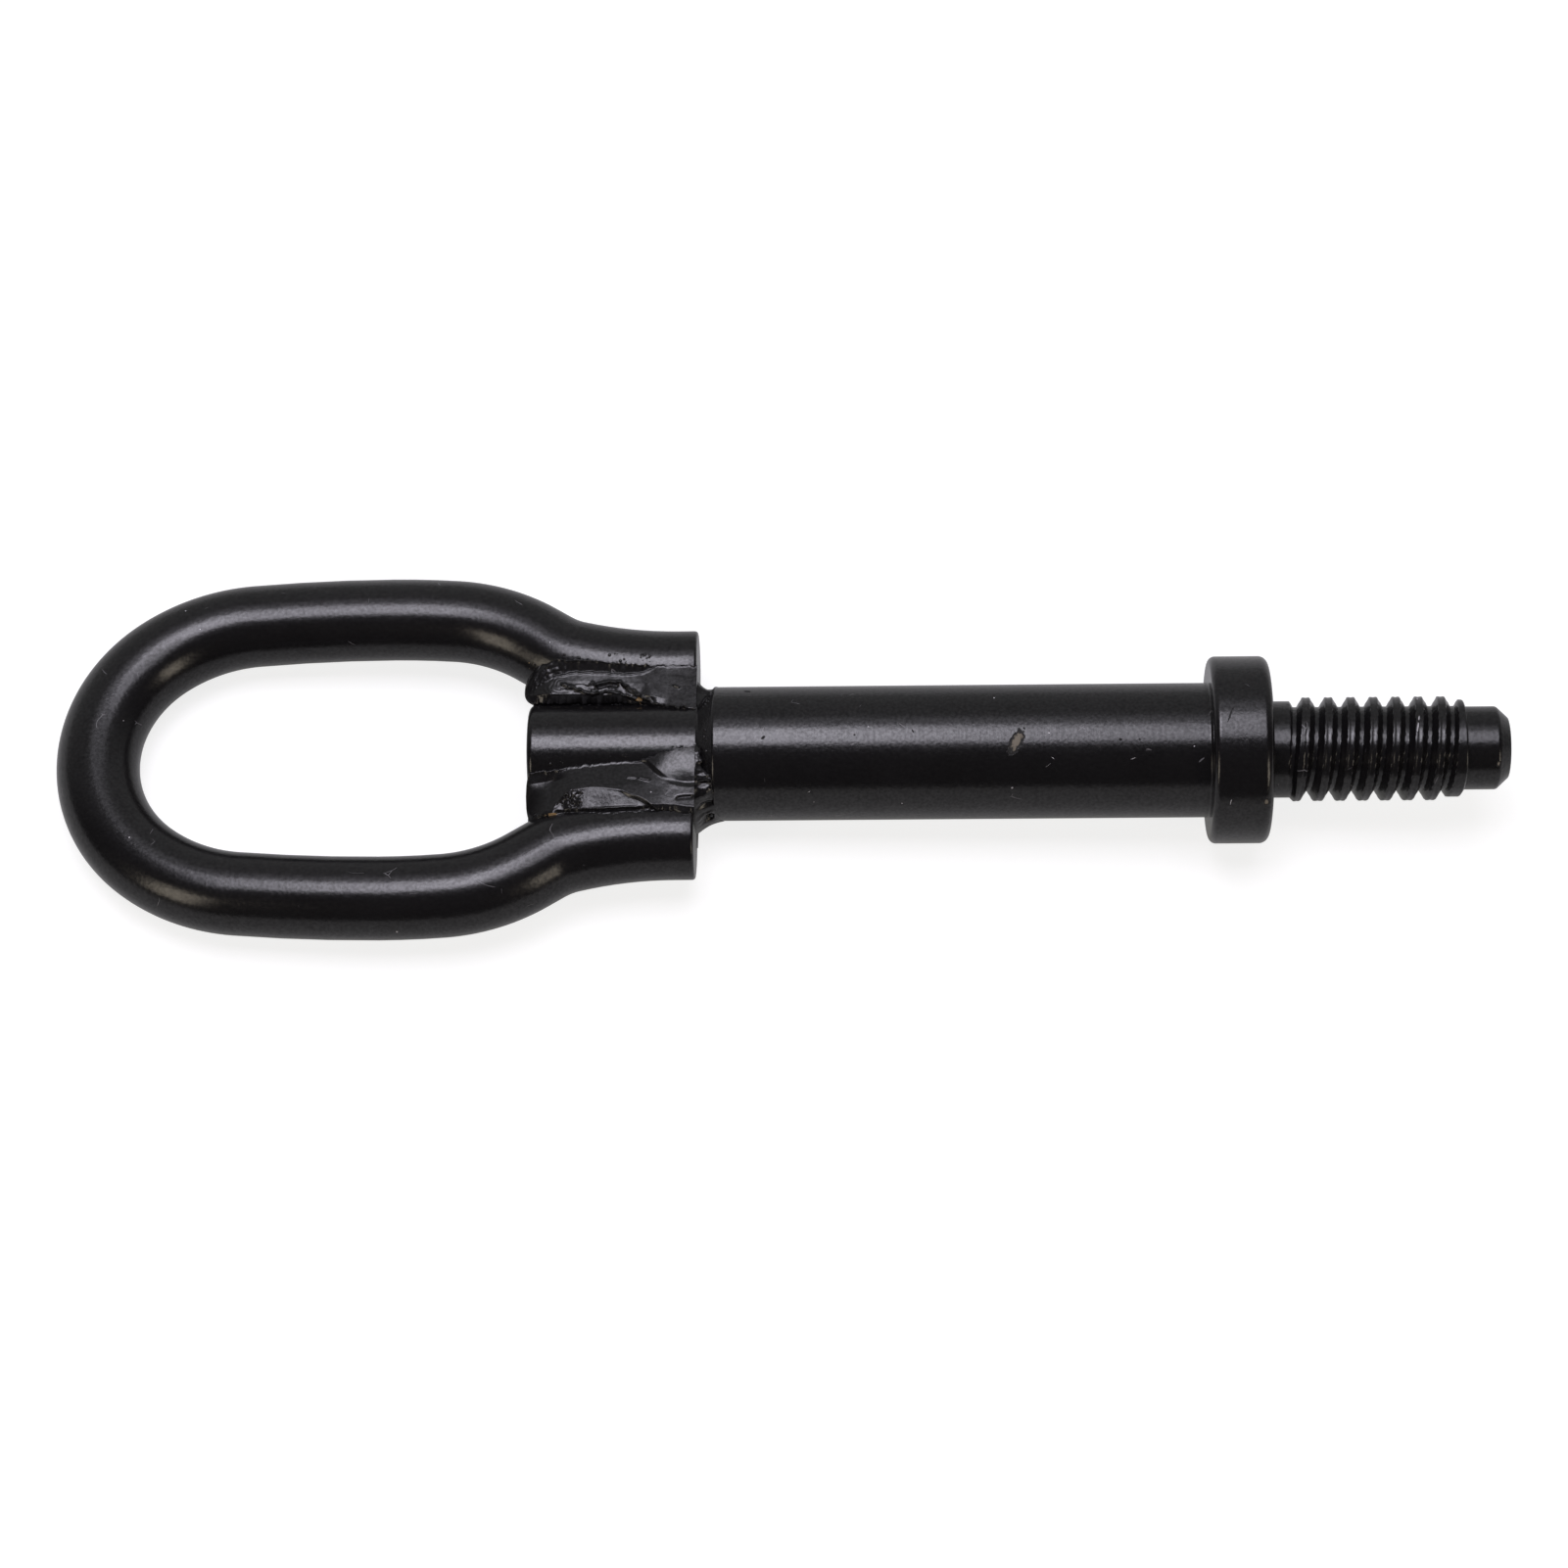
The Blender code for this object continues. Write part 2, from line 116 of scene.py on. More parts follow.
# Places along the part's line
COLLAR_X = -COLLAR_WIDTH
SHOULDER_X = COLLAR_X - BARREL_LENGTH
SPIGOT_ROOT_X = SHOULDER_X - SHOULDER_LENGTH
SPIGOT_END_X = SPIGOT_ROOT_X - SPIGOT_LENGTH
NECK_END_X = NECK_LENGTH
THREAD_END_X = NECK_END_X + THREAD_LENGTH
TIP_X = THREAD_END_X + TIP_LENGTH
LEG_END_X = SPIGOT_ROOT_X - 0.35 * MM
RUN_IN_X = NECK_END_X - 1.2 * MM
# The stretch with the thread's fine rings, and the little longer one where the groove may cut
FINE_X = (NECK_END_X - 1.25 * MM, THREAD_END_X + 0.005 * MM)
CUT_X = (NECK_END_X - 1.3 * MM, THREAD_END_X + 0.01 * MM)

# Fineness
TURNED_SIDES = 144
BAR_SIDES = 72
BEND_STEP = 2.0
FINE_STEP = 0.5 * MM
STRAIGHT_STEP = 2.0 * MM
EDGE_STEPS = 4
HOLD = 0.15 * MM
LONG_STEP = 4.0 * MM
JOIN_WITHIN = 0.002 * MM


def part_line():
    """Matrix from the part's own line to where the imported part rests, from its seat face's mount."""
    seat = frame["record"]["mounts"][0]
    axis = Vector(seat["axis"]).normalized()
    up = Vector((-axis.z, 0.0, axis.x))
    side = up.cross(axis)
    seat_point_radius = 12.0 * MM
    origin = Vector(seat["pos_m"]) - up * seat_point_radius
    turn = Matrix((axis, side, up)).transposed().to_4x4()
    return Matrix.Translation(origin) @ turn


LINE = part_line()


def arc(centre, r, start, end, steps):
    """Points of an arc in the (x, r) plane, from one angle to another in degrees."""
    angles = [math.radians(start + (end - start) * i / steps) for i in range(steps + 1)]
    return [(centre[0] + r * math.cos(a), centre[1] + r * math.sin(a)) for a in angles]


def shank_outline():
    """Outline of the turned shank as (x, radius) points, from the spigot's end to the tip."""
    points = [(SPIGOT_END_X, 0.0)]
    points += arc((SPIGOT_END_X + SPIGOT_EDGE, SPIGOT_RADIUS - SPIGOT_EDGE), SPIGOT_EDGE, 180, 90, 8)
    points += [(SPIGOT_ROOT_X - SHOULDER_BREAK, SPIGOT_RADIUS)]
    points += [(SPIGOT_ROOT_X + SHOULDER_BREAK, SPIGOT_RADIUS + SHOULDER_BREAK)]
    run, drop = BARREL_BREAK
    points += [(SHOULDER_X - run, BARREL_RADIUS - drop), (SHOULDER_X + run, BARREL_RADIUS)]
    points += [(COLLAR_X - 2 * COLLAR_FILLET, BARREL_RADIUS)]
    points += arc((COLLAR_X - COLLAR_FILLET, BARREL_RADIUS + COLLAR_FILLET), COLLAR_FILLET, 270, 360, 4)
    points += arc((COLLAR_X + COLLAR_EDGE, COLLAR_RADIUS - COLLAR_EDGE), COLLAR_EDGE, 180, 90, 10)
    points += arc((-COLLAR_SEAT_EDGE, COLLAR_RADIUS - COLLAR_SEAT_EDGE), COLLAR_SEAT_EDGE, 90, 0, 12)
    points += arc((NECK_FILLET, NECK_RADIUS + NECK_FILLET), NECK_FILLET, 180, 270, 5)
    points += [(RUN_IN_X, NECK_RADIUS), (NECK_END_X, NECK_RADIUS)]
    points += [(NECK_END_X + THREAD_RADIUS - NECK_RADIUS, THREAD_RADIUS)]
    lead_start = THREAD_END_X - LEAD_LENGTH
    points += [(lead_start - (THREAD_RADIUS - LEAD_RADIUS), THREAD_RADIUS), (lead_start, LEAD_RADIUS)]
    points += arc((THREAD_END_X - THREAD_LIP, LEAD_RADIUS - THREAD_LIP), THREAD_LIP, 90, 0, 4)
    points += [(THREAD_END_X, TIP_RADIUS + TIP_FILLET), (THREAD_END_X + TIP_FILLET, TIP_RADIUS)]
    chamfer_x = TIP_X - TIP_CHAMFER
    run, drop = TIP_BREAK
    points += [(chamfer_x - run, TIP_RADIUS), (chamfer_x + drop, TIP_RADIUS - drop)]
    points += arc((TIP_X - TIP_EDGE, TIP_RADIUS - TIP_CHAMFER), TIP_EDGE, 45, 0, 4)
    points += [(TIP_X, 0.0)]
    return held(points)


def held(points):
    """The same outline with points near both ends of each long straight, which then shades as straight."""
    result = [points[0]]
    for (x0, r0), (x1, r1) in zip(points, points[1:]):
        length = math.hypot(x1 - x0, r1 - r0)
        if length > 6 * HOLD:
            cuts = [HOLD, 2 * HOLD]
            middle = max(1, round((length - 4 * HOLD) / LONG_STEP))
            cuts += [2 * HOLD + (length - 4 * HOLD) * i / middle for i in range(1, middle)]
            cuts += [length - 2 * HOLD, length - HOLD]
            result += [(x0 + (x1 - x0) * d / length, r0 + (r1 - r0) * d / length) for d in cuts]
        result.append((x1, r1))
    return result


def turned(name, outline, fine_from, fine_to):
    """Spin an outline of (x, radius) points about the X axis, as on a lathe.

    The stretch between fine_from and fine_to is divided finely first.
    """
    bpy.ops.mesh.primitive_plane_add(size=MM, location=(outline[0][0], 0.0, outline[0][1]))
    piece = bpy.context.object
    piece.name = name
    bpy.ops.object.transform_apply(location=True, rotation=True, scale=True)
    bpy.ops.object.mode_set(mode="EDIT")
    bpy.ops.mesh.merge(type="CENTER")
    for (x0, r0), (x1, r1) in zip(outline, outline[1:]):
        bpy.ops.mesh.extrude_region_move(TRANSFORM_OT_translate={"value": (x1 - x0, 0.0, r1 - r0)})
    divide(piece, fine_from, fine_to)
    bpy.ops.mesh.select_all(action="SELECT")
    bpy.ops.mesh.spin(steps=TURNED_SIDES, angle=2 * math.pi, center=(0.0, 0.0, 0.0), axis=(1.0, 0.0, 0.0))
    bpy.ops.mesh.select_all(action="SELECT")
    bpy.ops.mesh.remove_doubles(threshold=JOIN_WITHIN)
    bpy.ops.object.mode_set(mode="OBJECT")
    fix_normals(piece)
    return piece


def divide(piece, fine_from, fine_to):
    """Divide the outline's edges between two places until none is longer than the thread needs."""
    limit = (fine_to - fine_from) / THREAD_RINGS
    for _ in range(8):
        bpy.ops.object.mode_set(mode="OBJECT")
        mesh = piece.data
        for item in list(mesh.vertices) + list(mesh.edges):
            item.select = False
        found = False
        for edge in mesh.edges:
            a, b = (mesh.vertices[i].co for i in edge.vertices)
            inside = min(a.x, b.x) >= fine_from and max(a.x, b.x) <= fine_to
            if inside and abs(a.x - b.x) > limit * 1.5:
                edge.select = True
                found = True
        bpy.ops.object.mode_set(mode="EDIT")
        if not found:
            return
        bpy.ops.mesh.select_mode(type="EDGE")
        bpy.ops.mesh.subdivide(number_cuts=1)


def groove_radius(x, angle):
    """Radius that the thread's groove leaves at a place and angle, measured from +Y towards +Z."""
    start_x = NECK_END_X - GROOVE_START_BACK
    turns = (x - start_x) / THREAD_PITCH - (math.radians(GROOVE_START_ANGLE) - angle) / (2 * math.pi)
    nearest = np.round(turns)
    away = np.abs(turns - nearest) * THREAD_PITCH
    turn = (x - start_x) / THREAD_PITCH - (turns - nearest)
    lip_half = (THREAD_PITCH - THREAD_CREST_WIDTH) / 2
    root_half = THREAD_ROOT_WIDTH / 2
    rise = np.clip((away - root_half) / (lip_half - root_half), 0.0, 1.0)
    rounded = rise + THREAD_FLANK_WAVE * np.sin(2 * math.pi * rise)
    depth = THREAD_RADIUS - THREAD_ROOT
    crest = np.clip((away - lip_half) / (THREAD_PITCH / 2 - lip_half), 0.0, 1.0)
    radius = THREAD_ROOT + depth * rounded - THREAD_CREST_FALL * (1 - crest) ** 3 * (rise > 0.9)
    radius = radius - THREAD_SEAM * hump(away, THREAD_PITCH / 2, THREAD_SEAM_WIDTH)
    full_depth = NECK_RADIUS - THREAD_ROOT + THREAD_LIP
    radius = radius + full_depth * np.clip(1 - turn / GROOVE_FADE_TURNS, 0.0, 1.0)
    return np.where(turn < 0, 1.0, radius)


def coordinates(piece):
    """Vertex places of a piece as an array."""
    co = np.zeros(len(piece.data.vertices) * 3)
    piece.data.vertices.foreach_get("co", co)
    return co.reshape(-1, 3)


def move_vertices(piece, co):
    """Put a piece's vertices at new places."""
    piece.data.vertices.foreach_set("co", co.ravel())
    piece.data.update()


def cut_thread(piece):
    """Turn the groove into the fine rings between neck and tip."""
    co = coordinates(piece)
    r = np.hypot(co[:, 1], co[:, 2])
    angle = np.arctan2(co[:, 2], co[:, 1])
    inside = (co[:, 0] > CUT_X[0]) & (co[:, 0] < CUT_X[1]) & (r > THREAD_ROOT)
    cut = np.minimum(r, groove_radius(co[:, 0], angle))
    scale = np.where(inside, cut / np.maximum(r, 1e-9), 1.0)
    co[:, 1] *= scale
    co[:, 2] *= scale
    move_vertices(piece, co)


def pick(piece):
    """Select one piece and nothing else."""
    bpy.ops.object.select_all(action="DESELECT")
    piece.select_set(True)
    bpy.context.view_layer.objects.active = piece


def finish_piece(piece, material, slot, crease, *nodes):
    """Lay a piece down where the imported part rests, dress it and smooth it up to an angle in degrees."""
    piece.data.transform(LINE)
    piece.data.update()
    piece.data.materials.clear()
    piece.data.materials.append(material)
    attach(piece, "root")
    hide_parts(*nodes)
    pick(piece)
    bpy.ops.object.shade_smooth_by_angle(angle=math.radians(crease))


def half_bends():
    """The left half of the loop as a list of ("straight", length) and ("bend", radius, turn) in radians."""
    leg_turn, flare_turn = math.radians(LEG_BEND[1]), math.radians(FLARE[1])
    side_turn, corner_turn = math.radians(SIDE_TURN), math.radians(CORNER[1])
    both = SPREAD_RADIUS + RETURN_RADIUS
    level = LEG_BEND[0] * (1 - math.cos(leg_turn)) + SPREAD_RADIUS * math.cos(leg_turn)
    level += RETURN_RADIUS * math.cos(flare_turn) + FLARE[0] * (1 - math.cos(flare_turn))
    lean = math.atan2(SPREAD_LENGTH, both)
    rise = HALF_WIDTH - BAR_OFFSET
    spread = math.acos((level - rise) / math.hypot(both, SPREAD_LENGTH)) - lean
    moves = [
        ("straight", LEG_STRAIGHT),
        ("bend", LEG_BEND[0], leg_turn),
        ("bend", SPREAD_RADIUS, spread - leg_turn),
        ("straight", SPREAD_LENGTH),
        ("bend", RETURN_RADIUS, flare_turn - spread),
        ("bend", FLARE[0], -flare_turn),
    ]
    x = walk(moves)[-1][0]
    nose_x = LEG_END_X - LOOP_LENGTH + BAR_MM / 2 * MM
    far_turn = side_turn + corner_turn
    run = CORNER[0] * (math.sin(far_turn) - math.sin(side_turn))
    drop = CORNER[0] * (math.cos(side_turn) - math.cos(far_turn))
    closing = np.array([
        [math.sin(side_turn), 1 - math.sin(far_turn)],
        [1 - math.cos(side_turn), math.cos(far_turn)],
    ])
    side_radius, nose_radius = np.linalg.solve(closing, np.array([x - nose_x - run, HALF_WIDTH - drop]))
    moves += [
        ("bend", float(side_radius), -side_turn),
        ("bend", CORNER[0], -corner_turn),
        ("bend", float(nose_radius), far_turn - math.pi / 2),
    ]
    return moves


def bend_centre(x, y, heading, r, turn):
    """Centre of a bend that starts at a place and heading, where heading is from -X towards +Y."""
    side = math.copysign(r, turn)
    return x + side * math.sin(heading), y + side * math.cos(heading), side


def walk(moves):
    """Centreline of a list of moves as (x, y, heading) points."""
    path = [(LEG_END_X, BAR_OFFSET, 0.0)]
    for move in moves:
        x, y, heading = path[-1]
        if move[0] == "straight":
            steps = max(1, math.ceil(move[1] / FINE_STEP))
            for i in range(1, steps + 1):
                d = move[1] * i / steps
                path.append((x - d * math.cos(heading), y + d * math.sin(heading), heading))
        else:
            cx, cy, side = bend_centre(x, y, heading, move[1], move[2])
            steps = max(1, math.ceil(abs(math.degrees(move[2])) / BEND_STEP))
            for i in range(1, steps + 1):
                h = heading + move[2] * i / steps
                path.append((cx - side * math.sin(h), cy - side * math.cos(h), h))
    return path


def bent_bar(name, moves):
    """Round bar: a circle drawn out along the straights and spun round the centre of each bend."""
    bpy.ops.mesh.primitive_circle_add(
        vertices=BAR_SIDES, radius=BAR_RADIUS - SAWN_EDGE,
        location=(LEG_END_X, BAR_OFFSET, 0.0), rotation=(0.0, math.pi / 2, 0.0),
    )
    piece = bpy.context.object
    piece.name = name
    bpy.ops.object.transform_apply(location=True, rotation=True, scale=True)
    bpy.ops.object.mode_set(mode="EDIT")
    bpy.ops.mesh.select_all(action="SELECT")

    place = (LEG_END_X, BAR_OFFSET, 0.0)
    rounding = [math.radians(90 * i / EDGE_STEPS) for i in range(EDGE_STEPS + 1)]
    sizes = [BAR_RADIUS - SAWN_EDGE * (1 - math.sin(a)) for a in rounding]
    runs = [SAWN_EDGE * (math.cos(a) - math.cos(b)) for a, b in zip(rounding, rounding[1:])]
    for run, before, after in zip(runs, sizes, sizes[1:]):
        place = draw_out(place, run, after / before)
    for i, move in enumerate(moves):
        if move[0] == "straight":
            length = move[1] - (SAWN_EDGE if i in (0, len(moves) - 1) else 0.0)
            steps = math.ceil(length / STRAIGHT_STEP)
            for _ in range(steps):
                place = draw_out(place, length / steps, 1.0)
        else:
            x, y, heading = place
            cx, cy, side = bend_centre(x, y, heading, move[1], move[2])
            steps = max(2, math.ceil(abs(math.degrees(move[2])) / BEND_STEP))
            bpy.ops.mesh.spin(steps=steps, angle=move[2], center=(cx, cy, 0.0), axis=(0.0, 0.0, 1.0))
            heading += move[2]
            place = (cx - side * math.sin(heading), cy - side * math.cos(heading), heading)
    for run, before, after in zip(reversed(runs), reversed(sizes), reversed(sizes[:-1])):
        place = draw_out(place, run, after / before)
    bpy.ops.mesh.select_all(action="SELECT")
    bpy.ops.mesh.remove_doubles(threshold=JOIN_WITHIN)
    bpy.ops.mesh.select_all(action="SELECT")
    bpy.ops.mesh.fill_holes(sides=0)
    bpy.ops.object.mode_set(mode="OBJECT")
    fix_normals(piece)
    return piece


def draw_out(place, step, grow):
    """Extrude the selected ring a step along its heading, scale it about its own centre, give its place."""
    x, y, heading = place
    run = (-step * math.cos(heading), step * math.sin(heading), 0.0)
    bpy.ops.mesh.extrude_region_move(TRANSFORM_OT_translate={"value": run})
    place = (x + run[0], y + run[1], heading)
    if grow != 1.0:
        bpy.ops.transform.resize(value=(1.0, grow, grow), center_override=(place[0], place[1], 0.0))
    return place


def rough(u, v, seed):
    """Smooth noise from -1 to 1 over a plane, one lump to a unit."""
    size = 64
    grid = np.random.RandomState(seed).uniform(-1, 1, (size, size))
    iu, iv = np.floor(u).astype(int), np.floor(v).astype(int)
    fu, fv = u - iu, v - iv
    fu, fv = fu * fu * (3 - 2 * fu), fv * fv * (3 - 2 * fv)
    low = grid[iu % size, iv % size] * (1 - fu) + grid[(iu + 1) % size, iv % size] * fu
    high = grid[iu % size, (iv + 1) % size] * (1 - fu) + grid[(iu + 1) % size, (iv + 1) % size] * fu
    return low * (1 - fv) + high * fv


def blend_in(value, start, end):
    """0 before start, 1 after end and a smooth rise between."""
    t = np.clip((value - start) / (end - start), 0.0, 1.0)
    return t * t * (3 - 2 * t)


def hump(value, middle, reach):
    """A rounded hump, 1 at its middle and dying away over its reach."""
    return np.exp(-(((value - middle) / reach) ** 2))


def ridge(x, v, points, width):
    """A rounded ridge, 1 along a line of (x, v) points and dying away over a width."""
    nearest = np.full(np.shape(x), 1e9)
    for (x0, v0), (x1, v1) in zip(points, points[1:]):
        dx, dv = x1 - x0, v1 - v0
        t = np.clip(((x - x0) * dx + (v - v0) * dv) / (dx * dx + dv * dv), 0.0, 1.0)
        nearest = np.minimum(nearest, np.hypot(x - x0 - t * dx, v - v0 - t * dv))
    return hump(nearest, 0.0, width)


def patch(x, v, centre, reach, seed):
    """A ragged patch, 1 in the middle and 0 outside: reach is its half length and half height."""
    away = np.hypot((x - centre[0]) / reach[0], (v - centre[1]) / reach[1])
    away = away + 0.25 * rough(x * 1.3, v * 1.3, seed) + 0.12 * rough(x * 3.1, v * 3.1, seed + 1)
    return 1 - blend_in(away, 0.7, 1.05)


def ball(name, segments, rings):
    """A unit sphere with the place along and around it of each vertex, both from 0 to 1."""
    bpy.ops.mesh.primitive_uv_sphere_add(segments=segments, ring_count=rings, radius=1.0)
    piece = bpy.context.object
    piece.name = name
    co = coordinates(piece)
    along = np.arccos(np.clip(co[:, 2], -1.0, 1.0)) / math.pi
    around = (np.arctan2(co[:, 1], co[:, 0]) / (2 * math.pi)) % 1.0
    return piece, along, around


def fix_normals(piece):
    """Point every face of a closed piece outwards."""
    pick(piece)
    bpy.ops.object.mode_set(mode="EDIT")
    bpy.ops.mesh.select_all(action="SELECT")
    bpy.ops.mesh.normals_make_consistent(inside=False)
    bpy.ops.object.mode_set(mode="OBJECT")


# Weld beads in the valleys between spigot and legs. Places along them are millimetres from the spigot's
# end. A toe is where a bead meets a bar: its angles are degrees from that bar's crest.
LEFT_SPIGOT_TOE = (
    (-1.2, 61.0), (13.0, 61.0), (16.0, 57.0), (18.0, 54.0), (20.0, 50.8), (22.0, 42.8), (24.0, 39.2),
    (26.0, 36.5), (28.5, 34.0),
)
LEFT_LEG_TOE = (
    (-1.2, 76.0), (0.0, 62.8), (1.0, 53.5), (2.5, 41.0), (4.0, 32.0), (6.0, 26.5), (8.0, 23.0),
    (12.0, 19.6), (16.0, 19.0), (20.0, 18.2), (24.0, 17.2), (28.5, 17.6),
)
RIGHT_SPIGOT_TOE = (
    (-1.0, 46.0), (1.0, 46.0), (4.0, 43.2), (8.0, 39.2), (12.0, 35.8), (16.0, 34.2), (20.0, 31.8),
    (22.0, 28.5), (24.0, 25.0), (26.0, 19.8), (28.5, 21.2),
)
RIGHT_LEG_TOE = (
    (-1.0, 70.0), (1.0, 58.0), (2.5, 46.5), (4.0, 40.5), (6.0, 36.0), (8.0, 30.8), (10.0, 23.8),
    (12.0, 19.2), (14.0, 16.2), (18.0, 12.0), (22.0, 13.5), (24.0, 14.2), (26.0, 11.5), (28.5, 6.8),
)
UNDER_SPIGOT_TOE = ((0.0, 46.0), (28.5, 40.0))
UNDER_LEG_TOE = ((-1.2, 70.0), (1.0, 52.0), (4.0, 34.0), (8.0, 24.0), (14.0, 15.0), (28.5, 12.0))
TOP_SHARE = 0.76
TOE_LIP = 0.13
TOE_SINK = 0.14
TOE_EDGE = 0.3
TOE_WANDER = 0.9
# The toes' wander as (lumps to a millimetre, size), from slow to quick
WANDER = ((1.1, 0.2), (3.1, 0.16))
EASING = (-1.0, -0.6, -0.2, 0.2, 0.6, 1.0)
BEAD_ROOT = (SPIGOT_RADIUS + 0.1 * MM, 2.3 * MM)
BEAD_SINK = 0.16 * MM
BEAD_PAST_LEG = 0.25 * MM

HALF_MOVES = half_bends()
PATH = np.array(walk(HALF_MOVES))[::-1]


def eased(x, line):
    """Values of a line of (place, value) points, with its corners rounded over 2 mm."""
    return np.mean([np.interp(x + step, *zip(*line)) for step in EASING], axis=0)


def leg_section(x):
    """Centre of the left leg's section at each x, and how much its tilt stretches it sideways."""
    return np.interp(x, PATH[:, 0], PATH[:, 1]), 1 / np.cos(np.interp(x, PATH[:, 0], PATH[:, 2]))


def keep_outside(section, centre, stretch, radius, clear):
    """Push the points of a section out of a bar's own round until they clear it."""
    y, z = (section[0] - centre) / stretch, section[1]
    push = np.maximum((radius + clear) / np.maximum(np.hypot(y, z), 1e-9), 1.0)
    return np.array((centre + y * push * stretch, z * push))


def form_height(form, x, share):
    """Height of a bead's plain form, with smooth steps between its places.

    form gives places along the bead, shares across it, and a row of heights for each place.
    """
    places, shares, heights = form
    across = np.array([np.interp(share, shares, row) for row in heights])
    rows = np.array(places, float)
    i = np.clip(np.searchsorted(rows, x) - 1, 0, len(rows) - 2)
    t = blend_in(x, rows[i], rows[i + 1])
    vertex = np.arange(len(x))
    return across[i, vertex] * (1 - t) + across[i + 1, vertex] * t


def groove_bead(name, side, up, relief, seed, *sizes):
    """Bead between spigot and leg: a ball drawn out along the valley, its skin raised by the bead's relief.

    relief works in millimetres: x from the spigot's end, v up from the spigot's toe, and the bead's width.
    """
    spigot_line, leg_line, overhang, end_round, segments, rings = sizes
    piece, along, around = ball(name, segments, rings)
    start, end = SPIGOT_END_X - overhang, LEG_END_X + BEAD_PAST_LEG
    x = start + (end - start) * along
    x_mm = (x - SPIGOT_END_X) / MM
    centre, stretch = leg_section(x)
    spigot_toe, leg_toe = np.radians(eased(x_mm, spigot_line)), np.radians(eased(x_mm, leg_line))
    near = np.array((SPIGOT_RADIUS * np.sin(spigot_toe), SPIGOT_RADIUS * np.cos(spigot_toe)))
    far = np.array((centre - BAR_RADIUS * stretch * np.sin(leg_toe), BAR_RADIUS * np.cos(leg_toe)))
    chord = far - near
    width = np.hypot(*chord)
    normal = np.array((-chord[1], chord[0])) / width

    q = np.clip(around / TOP_SHARE, 0.0, 1.0)
    w_mm = width / MM
    v_mm = q * w_mm
    shift = 0.0
    for row, from_toe in ((3, v_mm), (9, w_mm - v_mm)):
        for i, (quick, size) in enumerate(WANDER):
            wander = size * rough(x_mm * quick, x_mm * 0 + row, seed + i)
            shift = shift + wander * hump(from_toe, 0.0, TOE_WANDER)
    edge = blend_in(v_mm, 0.0, TOE_EDGE) * blend_in(w_mm - v_mm, 0.0, TOE_EDGE)
    height = TOE_LIP * edge - TOE_SINK * (1 - edge)
    height = (height + relief(x_mm, v_mm, w_mm) * edge) * MM
    skin = near + chord * (q + shift / w_mm) + normal * height
    clear = (0.06 * edge - 0.2 * (1 - edge)) * MM
    skin = keep_outside(skin, 0.0, 1.0, SPIGOT_RADIUS, clear)
    skin = keep_outside(skin, centre, stretch, BAR_RADIUS, clear)

    w = np.clip((around - TOP_SHARE) / (1 - TOP_SHARE), 0.0, 1.0)
    root = np.array([np.full_like(x, value) for value in BEAD_ROOT])
    low_near, low_far = near - normal * BEAD_SINK, far - normal * BEAD_SINK
    back = low_far * (1 - w) ** 2 + root * 2 * w * (1 - w) + low_near * w ** 2
    section = np.where(around < TOP_SHARE, skin, back)

    inset = np.clip(1 - (x - start) / end_round, 0.0, 1.0)
    size = np.sqrt(np.clip(1 - inset ** 2, 0.0, 1.0))
    size = np.where(along > 0.9999, 0.0, size)
    middle = near * 0.4 + far * 0.4 + root * 0.2
    section = middle + (section - middle) * size
    move_vertices(piece, np.column_stack((x, side * section[0], up * section[1])))
    fix_normals(piece)
    return piece


# Skin of the top left bead, in millimetres along it (x) and up from the spigot's toe (v)
LEFT_FORM = (
    (-1.0, 4.0, 14.0, 16.5, 20.0, 24.0),
    (0.0, 0.2, 0.5, 0.75, 0.9, 1.0),
    (
        (0.0, 0.5, 0.7, 0.55, 0.3, 0.0), (0.0, 1.5, 1.0, 0.5, 0.2, 0.0), (0.0, 1.5, 1.05, 0.55, 0.22, 0.0),
        (0.0, 1.0, 0.75, 0.4, 0.15, 0.0), (0.0, 0.9, 0.6, 0.3, 0.1, 0.0),
        (0.0, 0.0, -0.04, -0.08, -0.06, 0.0),
    ),
)
# Edge of the layer along the leg, as (x, share across)
LAYER_EDGE = (
    (-1.2, 0.1), (0.8, 0.46), (2.9, 0.6), (6.8, 0.7), (11.0, 0.73), (17.1, 0.74), (20.5, 0.82), (22.5, 1.1),
)
LAYER_DROP = 0.25
LAYER_SLOPE = 0.5
LAYER_LIP = (0.1, 0.03, 0.025)
# Curved steps at the bead's start: middle x, middle share, height, spacing
ONION = (5.5, 0.42, 0.07, 0.7)
PLATEAUS = (((8.6, 2.5), (2.9, 0.9), 14), ((13.2, 2.1), (2.6, 0.7), 19))
PLATEAU_SLOPE = 0.2
# Torn edges as lines of (x, v), with their height and half width
TEARS = (
    (((5.6, 3.4), (7.0, 2.9), (10.0, 1.95), (11.7, 1.85)), 0.32, 0.22),
    (((10.2, 3.1), (10.9, 3.7), (11.3, 3.2)), 0.3, 0.16),
    (((11.3, 3.35), (13.0, 3.9), (15.5, 3.8), (16.6, 3.0)), 0.3, 0.2),
    (((16.0, 3.3), (18.0, 2.3), (20.3, 0.8), (22.3, 0.25), (27.0, 0.15)), 0.34, 0.2),
    (((10.8, 1.5), (13.0, 2.0), (15.0, 1.85), (16.2, 1.5), (18.6, 0.7)), 0.3, 0.2),
    (((16.8, 2.4), (18.6, 1.5), (19.8, 0.8)), 0.26, 0.15),
)
HOLE = (((11.8, 2.95), (13.5, 3.25), (15.0, 3.15)), -0.35, 0.26)
LEFT_NICK = (((24.8, 4.4), (25.6, 4.1)), 0.25, 0.18)


